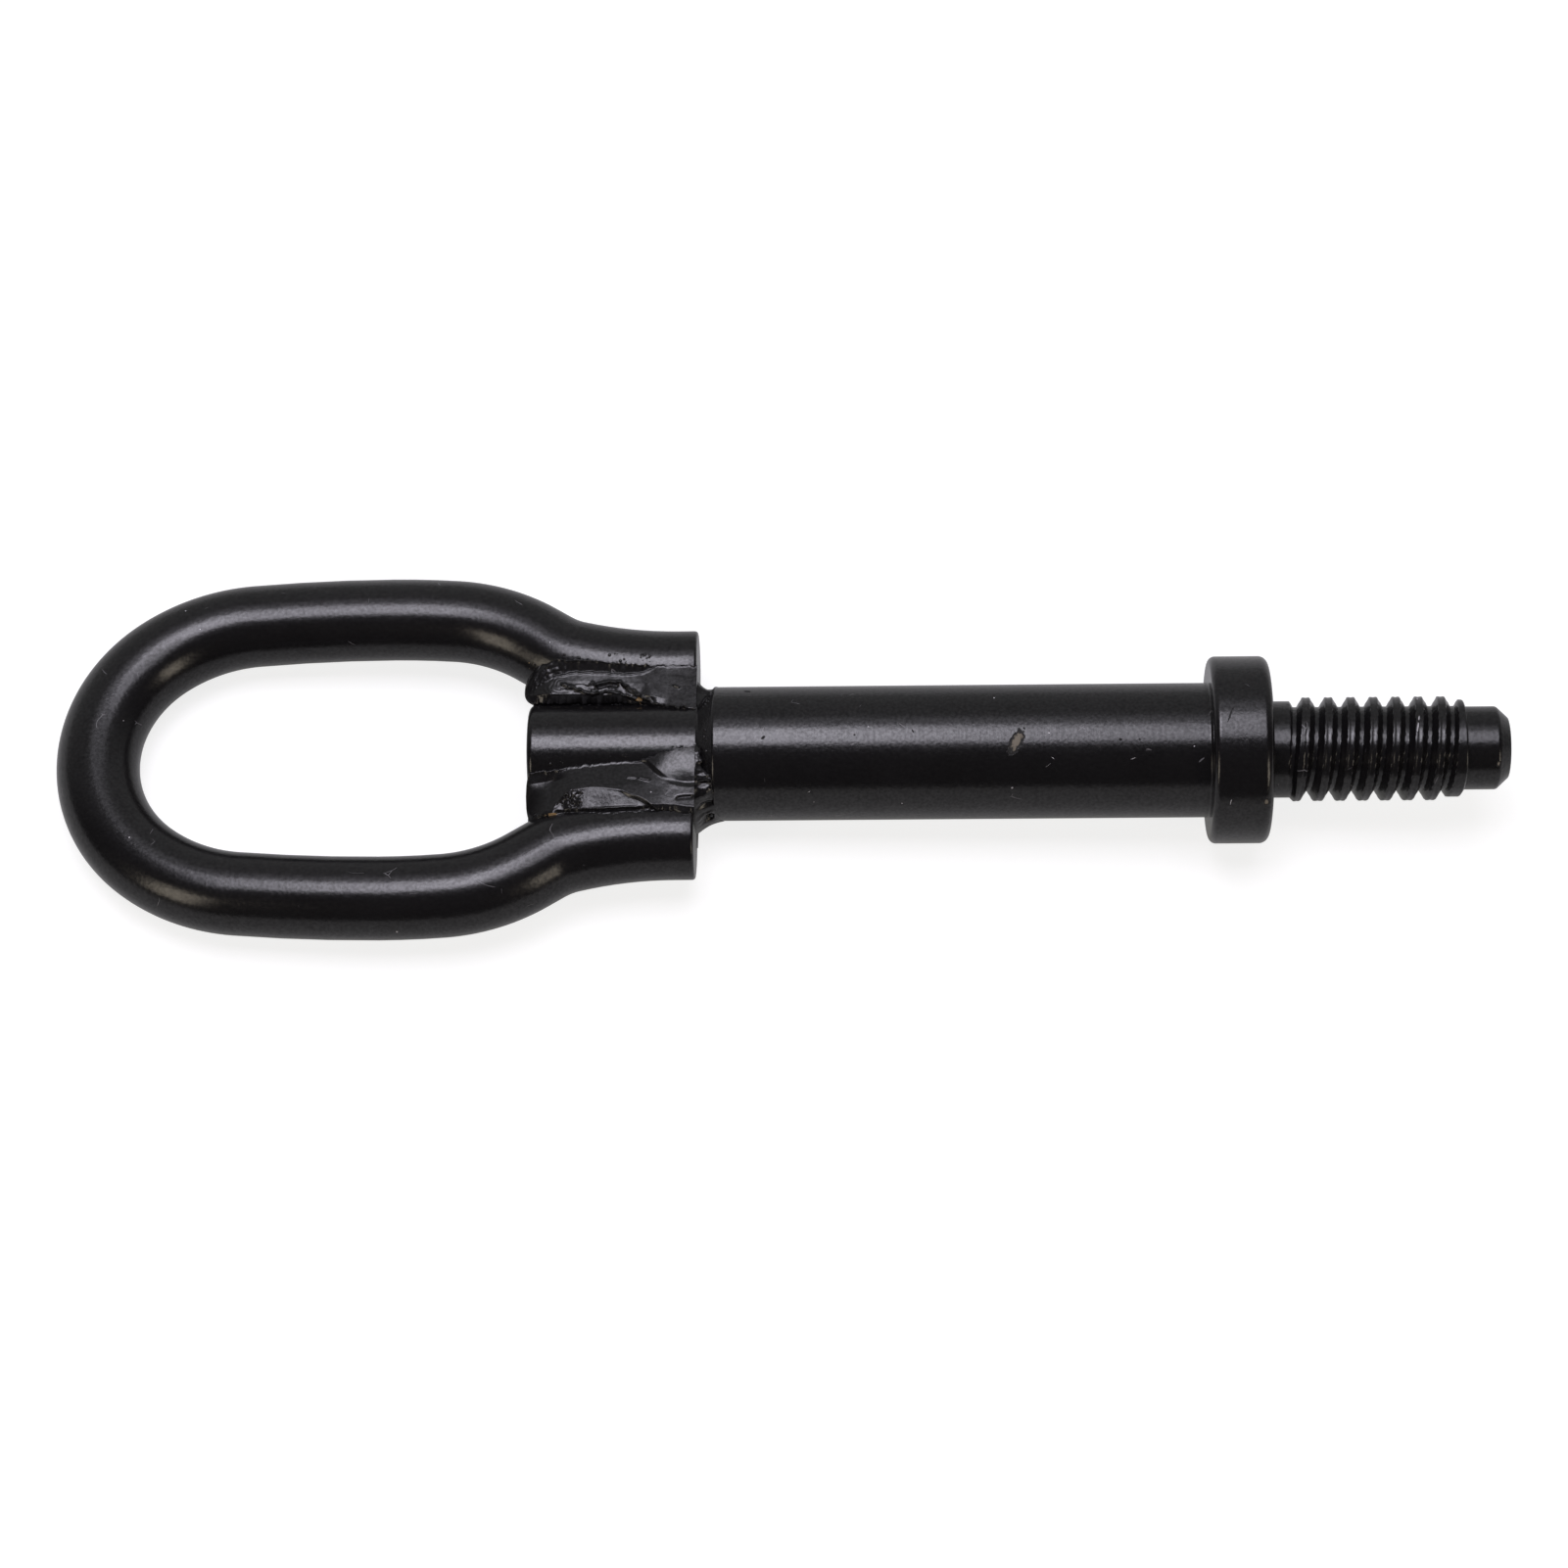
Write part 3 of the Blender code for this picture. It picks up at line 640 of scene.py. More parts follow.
def left_relief(x, v, width):
    """Skin of the top left bead: a torn patch, a level stretch past it and a layer along the leg."""
    share = v / width
    height = form_height(LEFT_FORM, x, share) + 0.03 * rough(x * 0.6, v * 0.7, 11)
    above = share - eased(x, LAYER_EDGE) + 0.015 * rough(x * 1.5, v, 12)
    layer = (LAYER_SLOPE * np.clip(above, 0.0, 0.3) * width - LAYER_DROP) * blend_in(above, -0.02, 0.02)
    lip, lip_below, lip_reach = LAYER_LIP
    layer = layer + lip * hump(above, -lip_below, lip_reach)
    height = height + layer * (1 - blend_in(x, 20.0, 22.5))
    middle, middle_share, onion, spacing = ONION
    arch = np.hypot((x - middle) * 0.8, v - middle_share * width) + 0.35 * rough(x * 0.8, v * 0.8, 13)
    height = height + onion * np.abs(np.sin(arch * math.pi / spacing)) * (1 - blend_in(x, 2.0, 6.5))
    plateau = sum(patch(x, v, *where) for where in PLATEAUS)
    height = height + plateau * (0.1 + PLATEAU_SLOPE * (v - 2.2) + 0.06 * rough(x * 0.9, v * 1.8, 16))
    wavy_v = v + 0.22 * rough(x * 1.6, v * 0.8, 15)
    ragged = 1 + 0.4 * rough(x * 1.5, v * 1.5, 17)
    for line, tear, reach in TEARS:
        height = height + tear * ridge(x, wavy_v, line, reach) * ragged
    line, hole, reach = HOLE
    height = height + hole * ridge(x, wavy_v, line, reach)
    line, nick, reach = LEFT_NICK
    height = height + nick * ridge(x, v, line, reach)
    leg_lip = hump(width - v, 0.28, 0.2) * (0.09 + 0.11 * rough(x * 1.6, v * 0, 18))
    return height + leg_lip * blend_in(x, 1.0, 4.0)


# Skin of the top right bead
RIGHT_FORM = (
    (0.0, 4.0, 8.0, 19.0, 24.0),
    (0.0, 0.05, 0.25, 0.5, 0.9, 1.0),
    (
        (0.0, 0.0, -0.3, -0.6, -0.9, 0.0), (0.0, 0.0, -0.75, -0.45, 0.05, 0.0),
        (0.0, 0.03, 0.35, 0.8, 1.3, 0.5), (0.0, 0.03, 0.35, 0.75, 1.2, 0.4), (0.0, 0.0, 0.2, 0.4, 0.6, 0.0),
    ),
)
# The leaf-shaped flat: its upper edge, and the line it falls from, as (x, share across)
LEAF_EDGE = ((3.5, 1.05), (6.5, 0.62), (11.5, 0.5), (16.8, 0.63), (20.2, 0.79), (22.2, 1.0))
LEAF_TOP = ((3.0, 0.6), (6.0, 0.53), (12.0, 0.5), (21.0, 0.63))
LEAF_SLOPE = 0.34
PITS_SHARE = 0.72
# Where the swollen end stops, as (x, v), its height and how fast it rounds over
SWELL_EDGE = ((20.0, 0.6), (21.4, 2.6), (24.2, 6.0), (27.0, 7.2), (28.5, 6.9))
SWELL_HEIGHT = 0.95
SWELL_ROUND = 0.034
# Thin raised line along the spigot's toe: height, place and half width
TOE_LINE = (0.11, 0.42, 0.22)
STREAKS = ((((17.4, 3.5), (18.6, 3.7)), 0.16, 0.22), (((19.4, 3.9), (21.0, 4.6)), 0.2, 0.25))
# Lapped crease by the leg: its share across, where it is open, and its folds by height, offset, half width
CREASE_SHARE = 0.925
CREASE_OPEN = ((9.5, 0.0), (12.5, 1.0), (17.0, 1.0), (20.5, 0.0))
CREASE_FOLDS = ((-0.75, 0.0, 0.26), (0.2, -0.45, 0.22), (0.25, 0.42, 0.16))
FAR_CREASE = (((26.0, 9.24), (28.2, 9.03)), -0.3, 0.3)


def right_relief(x, v, width):
    """Skin of the top right bead: a dark hollow, a swollen end, a leaf-shaped flat and a lapped crease."""
    share = v / width
    past = v - eased(x, SWELL_EDGE) - 0.25 * rough(x * 0.5, v * 0, 26)
    swollen = blend_in(x, 17.0, 24.5) * (1 - blend_in(past, -0.9, 0.4))
    height = form_height(RIGHT_FORM, x, share) * (1 - swollen) + 0.04 * rough(x * 0.4, v * 0.5, 21)
    round_over = SWELL_HEIGHT - SWELL_ROUND * (v - 1.0) ** 2
    height = height + swollen * (round_over + 0.02 * rough(x * 0.5, v * 0.5, 30))

    below = (share - eased(x, LEAF_EDGE)) * width - 0.25 * rough(x * 0.5, v * 0.0, 23)
    fall = np.clip(share - eased(x, LEAF_TOP), 0.0, 0.5) * width
    leaf = (0.03 - LEAF_SLOPE * fall ** 1.08) * blend_in(below, -0.3, 0.3)
    height = height + leaf * blend_in(x, 4.5, 7.0) * (1 - blend_in(x, 21.5, 23.5))
    height = height + 0.006 * rough(x * 1.9, v * 3.1, 24) * blend_in(below, 0.0, 0.8)
    pits = patch(x, v, (8.2, PITS_SHARE * width), (2.0, 1.5), 27)
    pores = (1 - np.abs(rough(x * 1.7, v * 2.0, 29))) ** 4
    height = height + pits * (0.12 * rough(x * 1.3, v * 1.7, 28) - 0.26 * pores)

    line, place, reach = TOE_LINE
    height = height + line * hump(v, place, reach) * (1 - blend_in(x, 20.0, 23.0))
    for line, raised, reach in STREAKS + (FAR_CREASE,):
        height = height + raised * ridge(x, v, line, reach)
    for raised, offset, reach in CREASE_FOLDS:
        height = height + raised * hump(v - CREASE_SHARE * width, offset, reach) * eased(x, CREASE_OPEN)
    return height


# Ripples of the beads underneath: spacing, height and how far they bow
RIPPLE_SPACING = 1.3
RIPPLE_HEIGHT = 0.09
RIPPLE_BOW = 6.4


def under_relief(x, v, width):
    """Skin of the beads underneath: even ripples, one to each push of the torch."""
    share = v / width
    bow = x + RIPPLE_BOW * (share - 0.5) ** 2
    ripple = RIPPLE_HEIGHT * np.abs(np.sin(bow * math.pi / RIPPLE_SPACING + 0.4 * rough(x, v, 31)))
    return 1.2 * share * (1 - share) + ripple + 0.08 * rough(x * 0.6, v * 0.6, 32)


# Beads as (side, up, relief, seed, spigot toe, leg toe, overhang and rounding at the spigot's end,
# segments, rings). Each takes the place of the solids' node that has groove_ before its name.
UNDER_SKIN = (-1, under_relief)
UNDER_SIZES = (UNDER_SPIGOT_TOE, UNDER_LEG_TOE, 0.5 * MM, 1.8 * MM, 110, 170)
BEADS = {
    "weld_top_left": (1, 1, left_relief, 60, LEFT_SPIGOT_TOE, LEFT_LEG_TOE, 1.2 * MM, 2.6 * MM, 200, 290),
    "weld_top_right": (
        -1, 1, right_relief, 70, RIGHT_SPIGOT_TOE, RIGHT_LEG_TOE, 0.1 * MM, 0.9 * MM, 200, 290,
    ),
    "weld_under_left": (1, *UNDER_SKIN, 80, *UNDER_SIZES),
    "weld_under_right": (-1, *UNDER_SKIN, 90, *UNDER_SIZES),
}


# Fillets between the leg ends and the shoulder. By angle from the crest: how far past the shoulder's edge
# the toe lies, the radius against the leg's end face, how far the skin dips in, all in millimetres, and how
# long it keeps its height before it falls to the toe.
FILLETS = {
    "weld_end_left": {
        "node": "end_weld_left", "side": 1, "start": 27.0, "seed": 41,
        "dip": ((27, 1.0), (145, 1.0)), "lean": ((27, 1.0), (145, 1.0)),
        "toe": ((27, -2.6), (40, -2.0), (52, 0.2), (60, 0.6), (120, 0.6), (145, -1.0)),
        "face": (
            (27, 8.4), (34, 8.9), (50, 9.8), (57, 11.0), (61, 12.3), (66, 13.0), (120, 13.0), (145, 9.0),
        ),
    },
    "weld_end_right": {
        "node": "end_weld_right", "side": -1, "start": 14.0, "seed": 51,
        "dip": ((14, 0.0), (40, 0.0), (48, 0.4), (145, 0.5)), "lean": ((14, 0.25), (42, 0.25), (50, 1.0)),
        "toe": (
            (14, -2.7), (24, -1.9), (40, -1.8), (46, -0.6), (60, 0.3), (90, 0.9), (117, 1.6), (145, 0.4),
        ),
        "face": (
            (14, 8.5), (20, 8.8), (25, 9.85), (35, 10.6), (45, 11.4), (52, 12.0), (60, 12.4), (80, 13.2),
            (117, 13.9), (135, 12.8), (145, 10.0),
        ),
    },
}
FILLET_END = 145.0
FILLET_SINK = 0.25 * MM
FILLET_SEGMENTS = 90
FILLET_RINGS = 240
FILLET_TOP_SHARE = 0.66
FILLET_CLEAR = 0.06 * MM
FILLET_TOE_SINK = 0.2 * MM
FILLET_ROUND = 0.05
# Drips, gaps between them and the pit's rim on the right fillet, as lines of (round the barrel, across the
# fillet) in millimetres, with their height and half width
KNOBS = (
    (((9.6, 1.0), (9.8, 2.2)), 0.3, 0.6),
    (((12.2, 1.3), (12.7, 2.9)), 0.6, 0.95),
    (((10.6, 0.3), (10.9, 3.8)), -0.4, 0.45),
    (((14.6, 0.5), (15.0, 3.8)), -0.45, 0.5),
    (((16.9, 1.0), (17.0, 2.2), (17.8, 3.1)), 0.28, 0.4),
)
PIT = (((18.4, 1.5), (19.4, 1.8)), 0.85)
FILLET_ACROSS = 3.9


def on_shank(x):
    """Radius of the spigot, the shoulder's cone or the barrel at each x."""
    return np.interp(x, (SPIGOT_ROOT_X, SHOULDER_X), (SPIGOT_RADIUS, BARREL_RADIUS))


def knobs(arc_mm, across):
    """Drips and a pit on the right fillet: millimetres round the barrel and across the fillet."""
    height = sum(raised * ridge(arc_mm, across, line, reach) for line, raised, reach in KNOBS)
    line, reach = PIT
    pit = ridge(arc_mm, across, line, reach)
    return height - pit * (0.9 + 0.5 * rough(arc_mm * 2.6, across * 2.6, 55))


def shoulder_bead(name, shape):
    """Fillet round one side of the shoulder: a ball drawn out into a curved wedge."""
    piece, along, around = ball(name, FILLET_SEGMENTS, FILLET_RINGS)
    seed = shape["seed"]
    degrees = shape["start"] + (FILLET_END - shape["start"]) * along
    angle = np.radians(degrees)
    arc_mm = angle * BARREL_RADIUS / MM
    face = LEG_END_X - 0.2 * MM
    still = arc_mm * 0
    wobble = 0.2 * rough(arc_mm * 0.9, still, seed) + 0.1 * rough(arc_mm * 2.6, still, seed + 1)
    lines = (shape[key] for key in ("toe", "face", "dip", "lean"))
    past, face_mm, dip, lean = (np.interp(degrees, *zip(*line)) for line in lines)
    toe = SHOULDER_X + (past + wobble) * MM
    q = np.clip(around / FILLET_TOP_SHARE, 0.0, 1.0)
    x = toe + (face - toe) * q
    lumps = 0.07 * rough(arc_mm * 0.8, q * 3, seed + 2) + 0.04 * rough(arc_mm * 2.1, q * 6, seed + 3)
    if shape["side"] < 0:
        lumps = lumps + knobs(arc_mm, q * FILLET_ACROSS)
    leaning = q ** lean
    skin = on_shank(toe) * (1 - leaning) + face_mm * MM * leaning + (lumps - dip) * MM * np.sin(math.pi * q)
    skin = np.maximum(skin, on_shank(x) + FILLET_CLEAR) - FILLET_TOE_SINK * (1 - blend_in(q, 0.0, 0.08))
    w = np.clip((around - FILLET_TOP_SHARE) / (1 - FILLET_TOP_SHARE), 0.0, 1.0)
    back_x = face + (toe - face) * w
    r = np.where(around < FILLET_TOP_SHARE, skin, on_shank(back_x) - FILLET_SINK)
    x = np.where(around < FILLET_TOP_SHARE, x, back_x)
    inset = np.clip(1 - np.minimum(along, 1 - along) / FILLET_ROUND, 0.0, 1.0)
    close = np.sqrt(np.clip(1 - inset ** 2, 0.0, 1.0))
    middle_x, middle_r = (face + toe) / 2, on_shank((face + toe) / 2)
    x = middle_x + (x - middle_x) * close
    r = middle_r + (r - middle_r) * close
    move_vertices(piece, np.column_stack((x, shape["side"] * r * np.sin(angle), r * np.cos(angle))))
    fix_normals(piece)
    return piece


# Spatter: droplets in groups as (host, place from the spigot's end, degrees from the crest, spread along,
# spread round, how many). Degrees on the spigot and shoulder are towards the right.
SPATTER = (
    ("leg", 19.8, 9.0, 0.8, 6.0, 14),
    ("leg", 15.0, 13.0, 1.8, 6.0, 10),
    ("leg", 1.0, 54.0, 1.8, 9.0, 16),
    ("leg", 16.0, 21.4, 12.0, 1.0, 60),
    ("spigot", 6.5, 36.0, 2.5, 3.0, 5),
    ("spigot", 15.5, 27.0, 1.6, 3.0, 7),
    ("spigot", 25.6, 19.0, 1.2, 1.0, 6),
    ("spigot", 12.0, -58.0, 4.0, 2.0, 4),
    ("shoulder", 30.6, -38.0, 0.7, 14.0, 14),
    ("shoulder", 30.8, 15.0, 0.5, 14.0, 7),
)
DROPLET_SEED = 5
DROPLET_SIZES = (0.11 * MM, 0.34 * MM)
DROPLET_HEIGHT = 0.7


def on_host(host, x, angle):
    """Point of a host's surface and its outward direction, in the part's own line."""
    out = Vector((0.0, -math.sin(angle), math.cos(angle)))
    if host == "leg":
        centre, stretch = (float(v) for v in leg_section(np.array(x)))
        return Vector((x, centre + BAR_RADIUS * stretch * out.y, BAR_RADIUS * out.z)), out
    r = SPIGOT_RADIUS if host == "spigot" else float(on_shank(x))
    return Vector((x, 0.0, 0.0)) + out * r, out


def spatter():
    """Weld spatter: one small ball, copied, each copy half sunk in what it landed on, then joined."""
    bpy.ops.mesh.primitive_ico_sphere_add(subdivisions=2, radius=1.0)
    first = bpy.context.object
    first.name = "weld_spatter"
    draw = np.random.RandomState(DROPLET_SEED)
    small, large = DROPLET_SIZES
    places = []
    for host, x, degrees, along, round_, count in SPATTER:
        for _ in range(count):
            at = SPIGOT_END_X + (x + along * draw.uniform(-1, 1)) * MM
            point, out = on_host(host, at, math.radians(degrees + round_ * draw.uniform(-1, 1)))
            places.append((point, out, small + (large - small) * draw.uniform() ** 2.5))
    droplets = [first]
    for _ in places[1:]:
        copy = first.copy()
        copy.data = first.data.copy()
        bpy.context.collection.objects.link(copy)
        copy.select_set(True)
        droplets.append(copy)
    for droplet, (point, out, size) in zip(droplets, places):
        turn = out.to_track_quat("Z", "Y").to_matrix().to_4x4()
        squash = Matrix.Diagonal((size, size, size * DROPLET_HEIGHT, 1.0))
        droplet.data.transform(Matrix.Translation(point) @ turn @ squash)
    bpy.ops.object.join()
    return first


def linear(hex_colour):
    """An sRGB hex colour as linear red, green, blue and alpha."""
    values = [int(hex_colour[i:i + 2], 16) / 255 for i in (1, 3, 5)]
    return tuple(v / 12.92 if v <= 0.04045 else ((v + 0.055) / 1.055) ** 2.4 for v in values) + (1.0,)


def add_node(owner, kind, settings=None, **links):
    """Add a node: settings are its own values. Links fill its inputs, each with a value, another node's
    output, or another node, whose first open output is then taken."""
    node = owner.node_tree.nodes.new("ShaderNode" + kind)
    for key, value in (settings or {}).items():
        setattr(node, key, value)
    for key, value in links.items():
        name = key.replace("_", " ")
        socket = node.inputs[int(name[5:])] if name.startswith("input") else node.inputs[name]
        if isinstance(value, bpy.types.Node):
            value = next(output for output in value.outputs if output.enabled)
        if isinstance(value, bpy.types.NodeSocket):
            owner.node_tree.links.new(value, socket)
        else:
            socket.default_value = value
    return node


def new_material(name):
    """A material with only its shader, and that shader."""
    material = bpy.data.materials.new(name)
    material.use_nodes = True
    return material, material.node_tree.nodes["Principled BSDF"]


DEEP_BLACK = "#0d0c0d"
WORN_BLACK = "#161517"
DUST = "#a9a7ab"
NICK = "#0a090a"
BARE_STEEL_FILM = "#6b6459"
BARE_LACQUER = "#96753f"

# Paint's index, a little under a clear lacquer's 1.5, as matched to its reflections
PAINT_IOR = 1.45

# Marks as (place from the collar's seat, degrees from the crest towards the right, radius they lie on,
# half length, half width, turn in degrees), in millimetres
CHIPS = (
    (-43.0, 19.0, 11.5, 2.6, 1.05, 62.0), (-1.3, 60.8, 16.0, 0.75, 0.55, 80.0),
    (38.3, 50.0, 7.1, 0.5, 0.35, 80.0),
)
NICKS = (
    (-85.6, 13.8, 11.5, 0.4, 0.22, 40.0), (-88.5, -39.8, 11.5, 0.6, 0.45, 0.0),
    (-25.5, 18.0, 11.5, 0.28, 0.2, 0.0), (-22.3, 18.1, 11.5, 0.2, 0.15, 0.0),
    (-29.3, 23.6, 11.5, 0.5, 0.16, 160.0), (-7.4, 6.1, 16.0, 1.3, 0.16, 70.0),
    (4.2, -37.9, 8.3, 1.3, 0.25, 160.0), (-70.2, 12.0, 11.5, 0.2, 0.14, 0.0),
    (-60.4, 9.0, 11.5, 0.3, 0.12, 120.0),
)
FLECKS = (
    (24.6, 3.3, 8.9, 0.9, 0.14, 80.0), (26.4, 12.5, 8.9, 0.7, 0.14, 95.0),
    (25.2, -45.0, 8.9, 0.5, 0.16, 80.0), (24.9, -8.0, 8.9, 0.5, 0.1, 80.0),
    (-7.3, 60.6, 16.0, 0.55, 0.07, 80.0), (-36.9, 33.1, 11.5, 0.3, 0.05, 140.0),
    (-23.4, 34.0, 11.5, 0.5, 0.05, 20.0), (-78.0, 62.0, 11.5, 0.3, 0.05, 30.0),
)
MARK_DEPTH = 1.5 * MM
# Places of bare patches on the welds in the part's line, with their half sizes, in millimetres
AMBER = ((-121.4, -14.3, 6.2, 2.2, 0.35), (-107.0, 7.6, 5.0, 0.8, 0.5), (-126.0, 15.5, 3.5, 1.0, 0.5))


def nearest_mark(node, place, marks):
    """Distance to the nearest of some oval marks, 1 at their edge, made by a material's own add_node.

    A mark is a matrix and two half sizes.
    """
    nearest = None
    for matrix, half_long, half_wide in marks:
        centred = node(
            "Mapping", {"vector_type": "TEXTURE"}, Vector=place, Location=matrix.to_translation(),
            Rotation=matrix.to_euler(), Scale=(half_long, half_wide, MARK_DEPTH),
        )
        away = node("VectorMath", {"operation": "LENGTH"}, Vector=centred)
        if nearest is not None:
            away = node("Math", {"operation": "MINIMUM"}, input_0=nearest, input_1=away)
        nearest = away
    return nearest


def turned_marks(marks):
    """Marks on the turned shank as matrices where it rests, with their half sizes in metres."""
    placed = []
    for x, degrees, radius, half_long, half_wide, turn in marks:
        angle = math.radians(degrees)
        out = Vector((0.0, -math.sin(angle), math.cos(angle)))
        along, round_ = Vector((1.0, 0.0, 0.0)), out.cross(Vector((1.0, 0.0, 0.0)))
        spin = math.radians(turn)
        first = along * math.cos(spin) + round_ * math.sin(spin)
        local = Matrix((first, out.cross(first), out)).transposed().to_4x4()
        local.translation = (Vector((x, 0.0, 0.0)) + out * radius) * MM
        placed.append((LINE @ local, half_long * MM, half_wide * MM))
    return placed


def amber_marks():
    """Patches on the welds where the paint is off, as matrices where they rest, with their half sizes."""
    return [(LINE @ Matrix.Translation(Vector(m[:3]) * MM), m[3] * MM, m[4] * MM) for m in AMBER]


def coat(name, roughness, turned_lines=0.0, marks=(), amber=()):
    """Baked black dip paint on steel: a dense satin film, a little uneven, that keeps the steel's fine
    texture, with dust specks, hairline scratches and chips.

    marks holds (marks, colour of their rim, colour of their core), and amber the bare patches.
    """
    material, shader = new_material(name)
    link = material.node_tree.links.new
    node = partial(add_node, material)
    blend, times_plus = {"data_type": "RGBA"}, {"operation": "MULTIPLY_ADD"}
    dust = linear(DUST)
    place = node("TexCoord").outputs["Object"]
    # Clouds of about 11 mm in the film's depth of black
    cloud = node("TexNoise", Vector=place, Scale=90.0, Detail=3.0)
    film = node("Mix", blend, input_0=cloud, input_6=linear(DEEP_BLACK), input_7=linear(WORN_BLACK))

    # Dust specks of 0.2 mm, one here and there, drawn a little larger than real so that they show
    cells = node("TexVoronoi", Vector=place, Scale=330.0, Randomness=1.0)
    lot = node("SeparateColor", Color=cells.outputs["Color"])
    size = node("MapRange", Value=lot, From_Min=0.78, From_Max=1.0, To_Min=0.0, To_Max=0.07)
    speck = node("Math", {"operation": "LESS_THAN"}, input_0=cells, input_1=size)
    dusty = node("Mix", blend, input_0=speck, input_6=film, input_7=dust)

    # Hairline scratches: the edges of wide cells, kept only in short stretches
    bent = node("TexNoise", Vector=place, Scale=160.0, Detail=1.0)
    bend = node(
        "VectorMath", times_plus,
        input_0=bent.outputs["Color"], input_1=(0.006, 0.006, 0.006), input_2=place,
    )
    hair = node("TexVoronoi", {"feature": "DISTANCE_TO_EDGE"}, Vector=bend, Scale=120.0)
    thin = node("MapRange", Value=hair, From_Min=0.003, From_Max=0.008, To_Min=0.28, To_Max=0.0)
    stretches = node("TexNoise", Vector=place, Scale=330.0, Detail=0.0)
    short = node("MapRange", Value=stretches, From_Min=0.72, From_Max=0.77)
    hairs = node("Math", {"operation": "MULTIPLY"}, input_0=thin, input_1=short)
    colour = node("Mix", blend, input_0=hairs, input_6=dusty, input_7=dust)

    # Orange peel and grit of about 0.4 mm
    grain = node("TexNoise", Vector=place, Scale=1900.0, Detail=3.0)
    height = grain

    # Satin in soft patches of about 30 mm, dulled here and there by the grit
    patchy = node("TexNoise", Vector=place, Scale=35.0, Detail=2.0)
    soft = node("MapRange", Value=patchy, To_Min=roughness - 0.1, To_Max=roughness)
    dullness = node("Math", times_plus, input_0=height, input_1=0.1, input_2=soft)

    if turned_lines:
        # Lathe lines 0.3 mm apart, drawn coarser than the real feed so that they show
        square_on = node(
            "Mapping", {"vector_type": "TEXTURE"}, Vector=place,
            Rotation=LINE.to_euler(), Scale=(1.0, 40.0, 40.0),
        )
        lines = node("TexNoise", Vector=square_on, Scale=1500.0, Detail=2.0)
        height = node("Math", times_plus, input_0=lines, input_1=turned_lines, input_2=height)

    # Chips, nicks and flecks with a ragged edge: a ring of bare film round a core
    for ovals, rim, core in marks:
        nearest = nearest_mark(node, place, turned_marks(ovals))
        away = node("Math", times_plus, input_0=grain, input_1=1.1, input_2=nearest)
        inside, middle = (
            node("MapRange", Value=away, From_Min=low, From_Max=high, To_Min=1.0, To_Max=0.0)
            for low, high in ((1.45, 1.55), (1.0, 1.2))
        )
        ringed = node("Mix", blend, input_0=inside, input_6=colour, input_7=linear(rim))
        colour = node("Mix", blend, input_0=middle, input_6=ringed, input_7=linear(core))
        dullness = node("Math", times_plus, input_0=inside, input_1=0.5, input_2=dullness)
        height = node("Math", times_plus, input_0=inside, input_1=-1.5, input_2=height)

    if amber:
        # Bare patches with a film of yellow lacquer
        nearest = nearest_mark(node, place, amber)
        away = node("Math", times_plus, input_0=grain, input_1=1.1, input_2=nearest)
        inside = node("MapRange", Value=away, From_Min=1.45, From_Max=1.6, To_Min=1.0, To_Max=0.0)
        tarnish = node(
            "Mix", blend,
            input_0=grain, input_6=linear(BARE_LACQUER), input_7=linear(BARE_STEEL_FILM),
        )
        colour = node("Mix", blend, input_0=inside, input_6=colour, input_7=tarnish)

    # The grit also mottles the sheen
    sheen = node("MapRange", Value=grain, From_Min=0.3, From_Max=0.7, To_Min=0.34, To_Max=0.66)
    bump = node("Bump", Height=height, Strength=0.7, Distance=0.03 * MM)
    link(colour.outputs[2], shader.inputs["Base Color"])
    link(dullness.outputs["Value"], shader.inputs["Roughness"])
    link(sheen.outputs["Result"], shader.inputs["Specular IOR Level"])
    link(bump.outputs["Normal"], shader.inputs["Normal"])
    shader.inputs["IOR"].default_value = PAINT_IOR
    return material


BAR_CREASE = 35.0
WELD_CREASE = 60.0


def build_object():
    """Make every piece of the eye and lay it in place."""
    marks = ((CHIPS, NICK, BARE_STEEL_FILM), (NICKS, NICK, NICK), (FLECKS, DUST, DUST))
    shank_paint = coat("baked_black_paint_on_turned_steel", roughness=0.21, turned_lines=0.8, marks=marks)
    loop_paint = coat("baked_black_paint_on_rolled_bar", roughness=0.22)
    weld_paint = coat("baked_black_paint_on_weld_metal", roughness=0.24, amber=amber_marks())

    shank = turned("shank", shank_outline(), *FINE_X)
    cut_thread(shank)
    finish_piece(shank, shank_paint, "shank_coat", BAR_CREASE, "threaded_shank")
    loop = bent_bar("loop", HALF_MOVES + HALF_MOVES[::-1])
    finish_piece(loop, loop_paint, "loop_coat", BAR_CREASE, "tow_loop")
    for name, bead in BEADS.items():
        finish_piece(groove_bead(name, *bead), weld_paint, "weld_coat", WELD_CREASE, "groove_" + name)
    for name, shape in FILLETS.items():
        finish_piece(shoulder_bead(name, shape), weld_paint, "weld_coat", WELD_CREASE, shape["node"])
    finish_piece(spatter(), weld_paint, "weld_coat", WELD_CREASE)


# Camera, from the photo: azimuth and elevation in degrees, where it looks, its roll and distance
CAMERA_AZIMUTH = 0.997
CAMERA_ELEVATION = 62.939
CAMERA_TARGET = Vector((0.945, -6.596, 14.0)) * MM
CAMERA_ROLL = 1.638
CAMERA_DISTANCE = 670.0 * MM
CAMERA_LENS = 90.39
SENSOR_WIDTH = 36.0


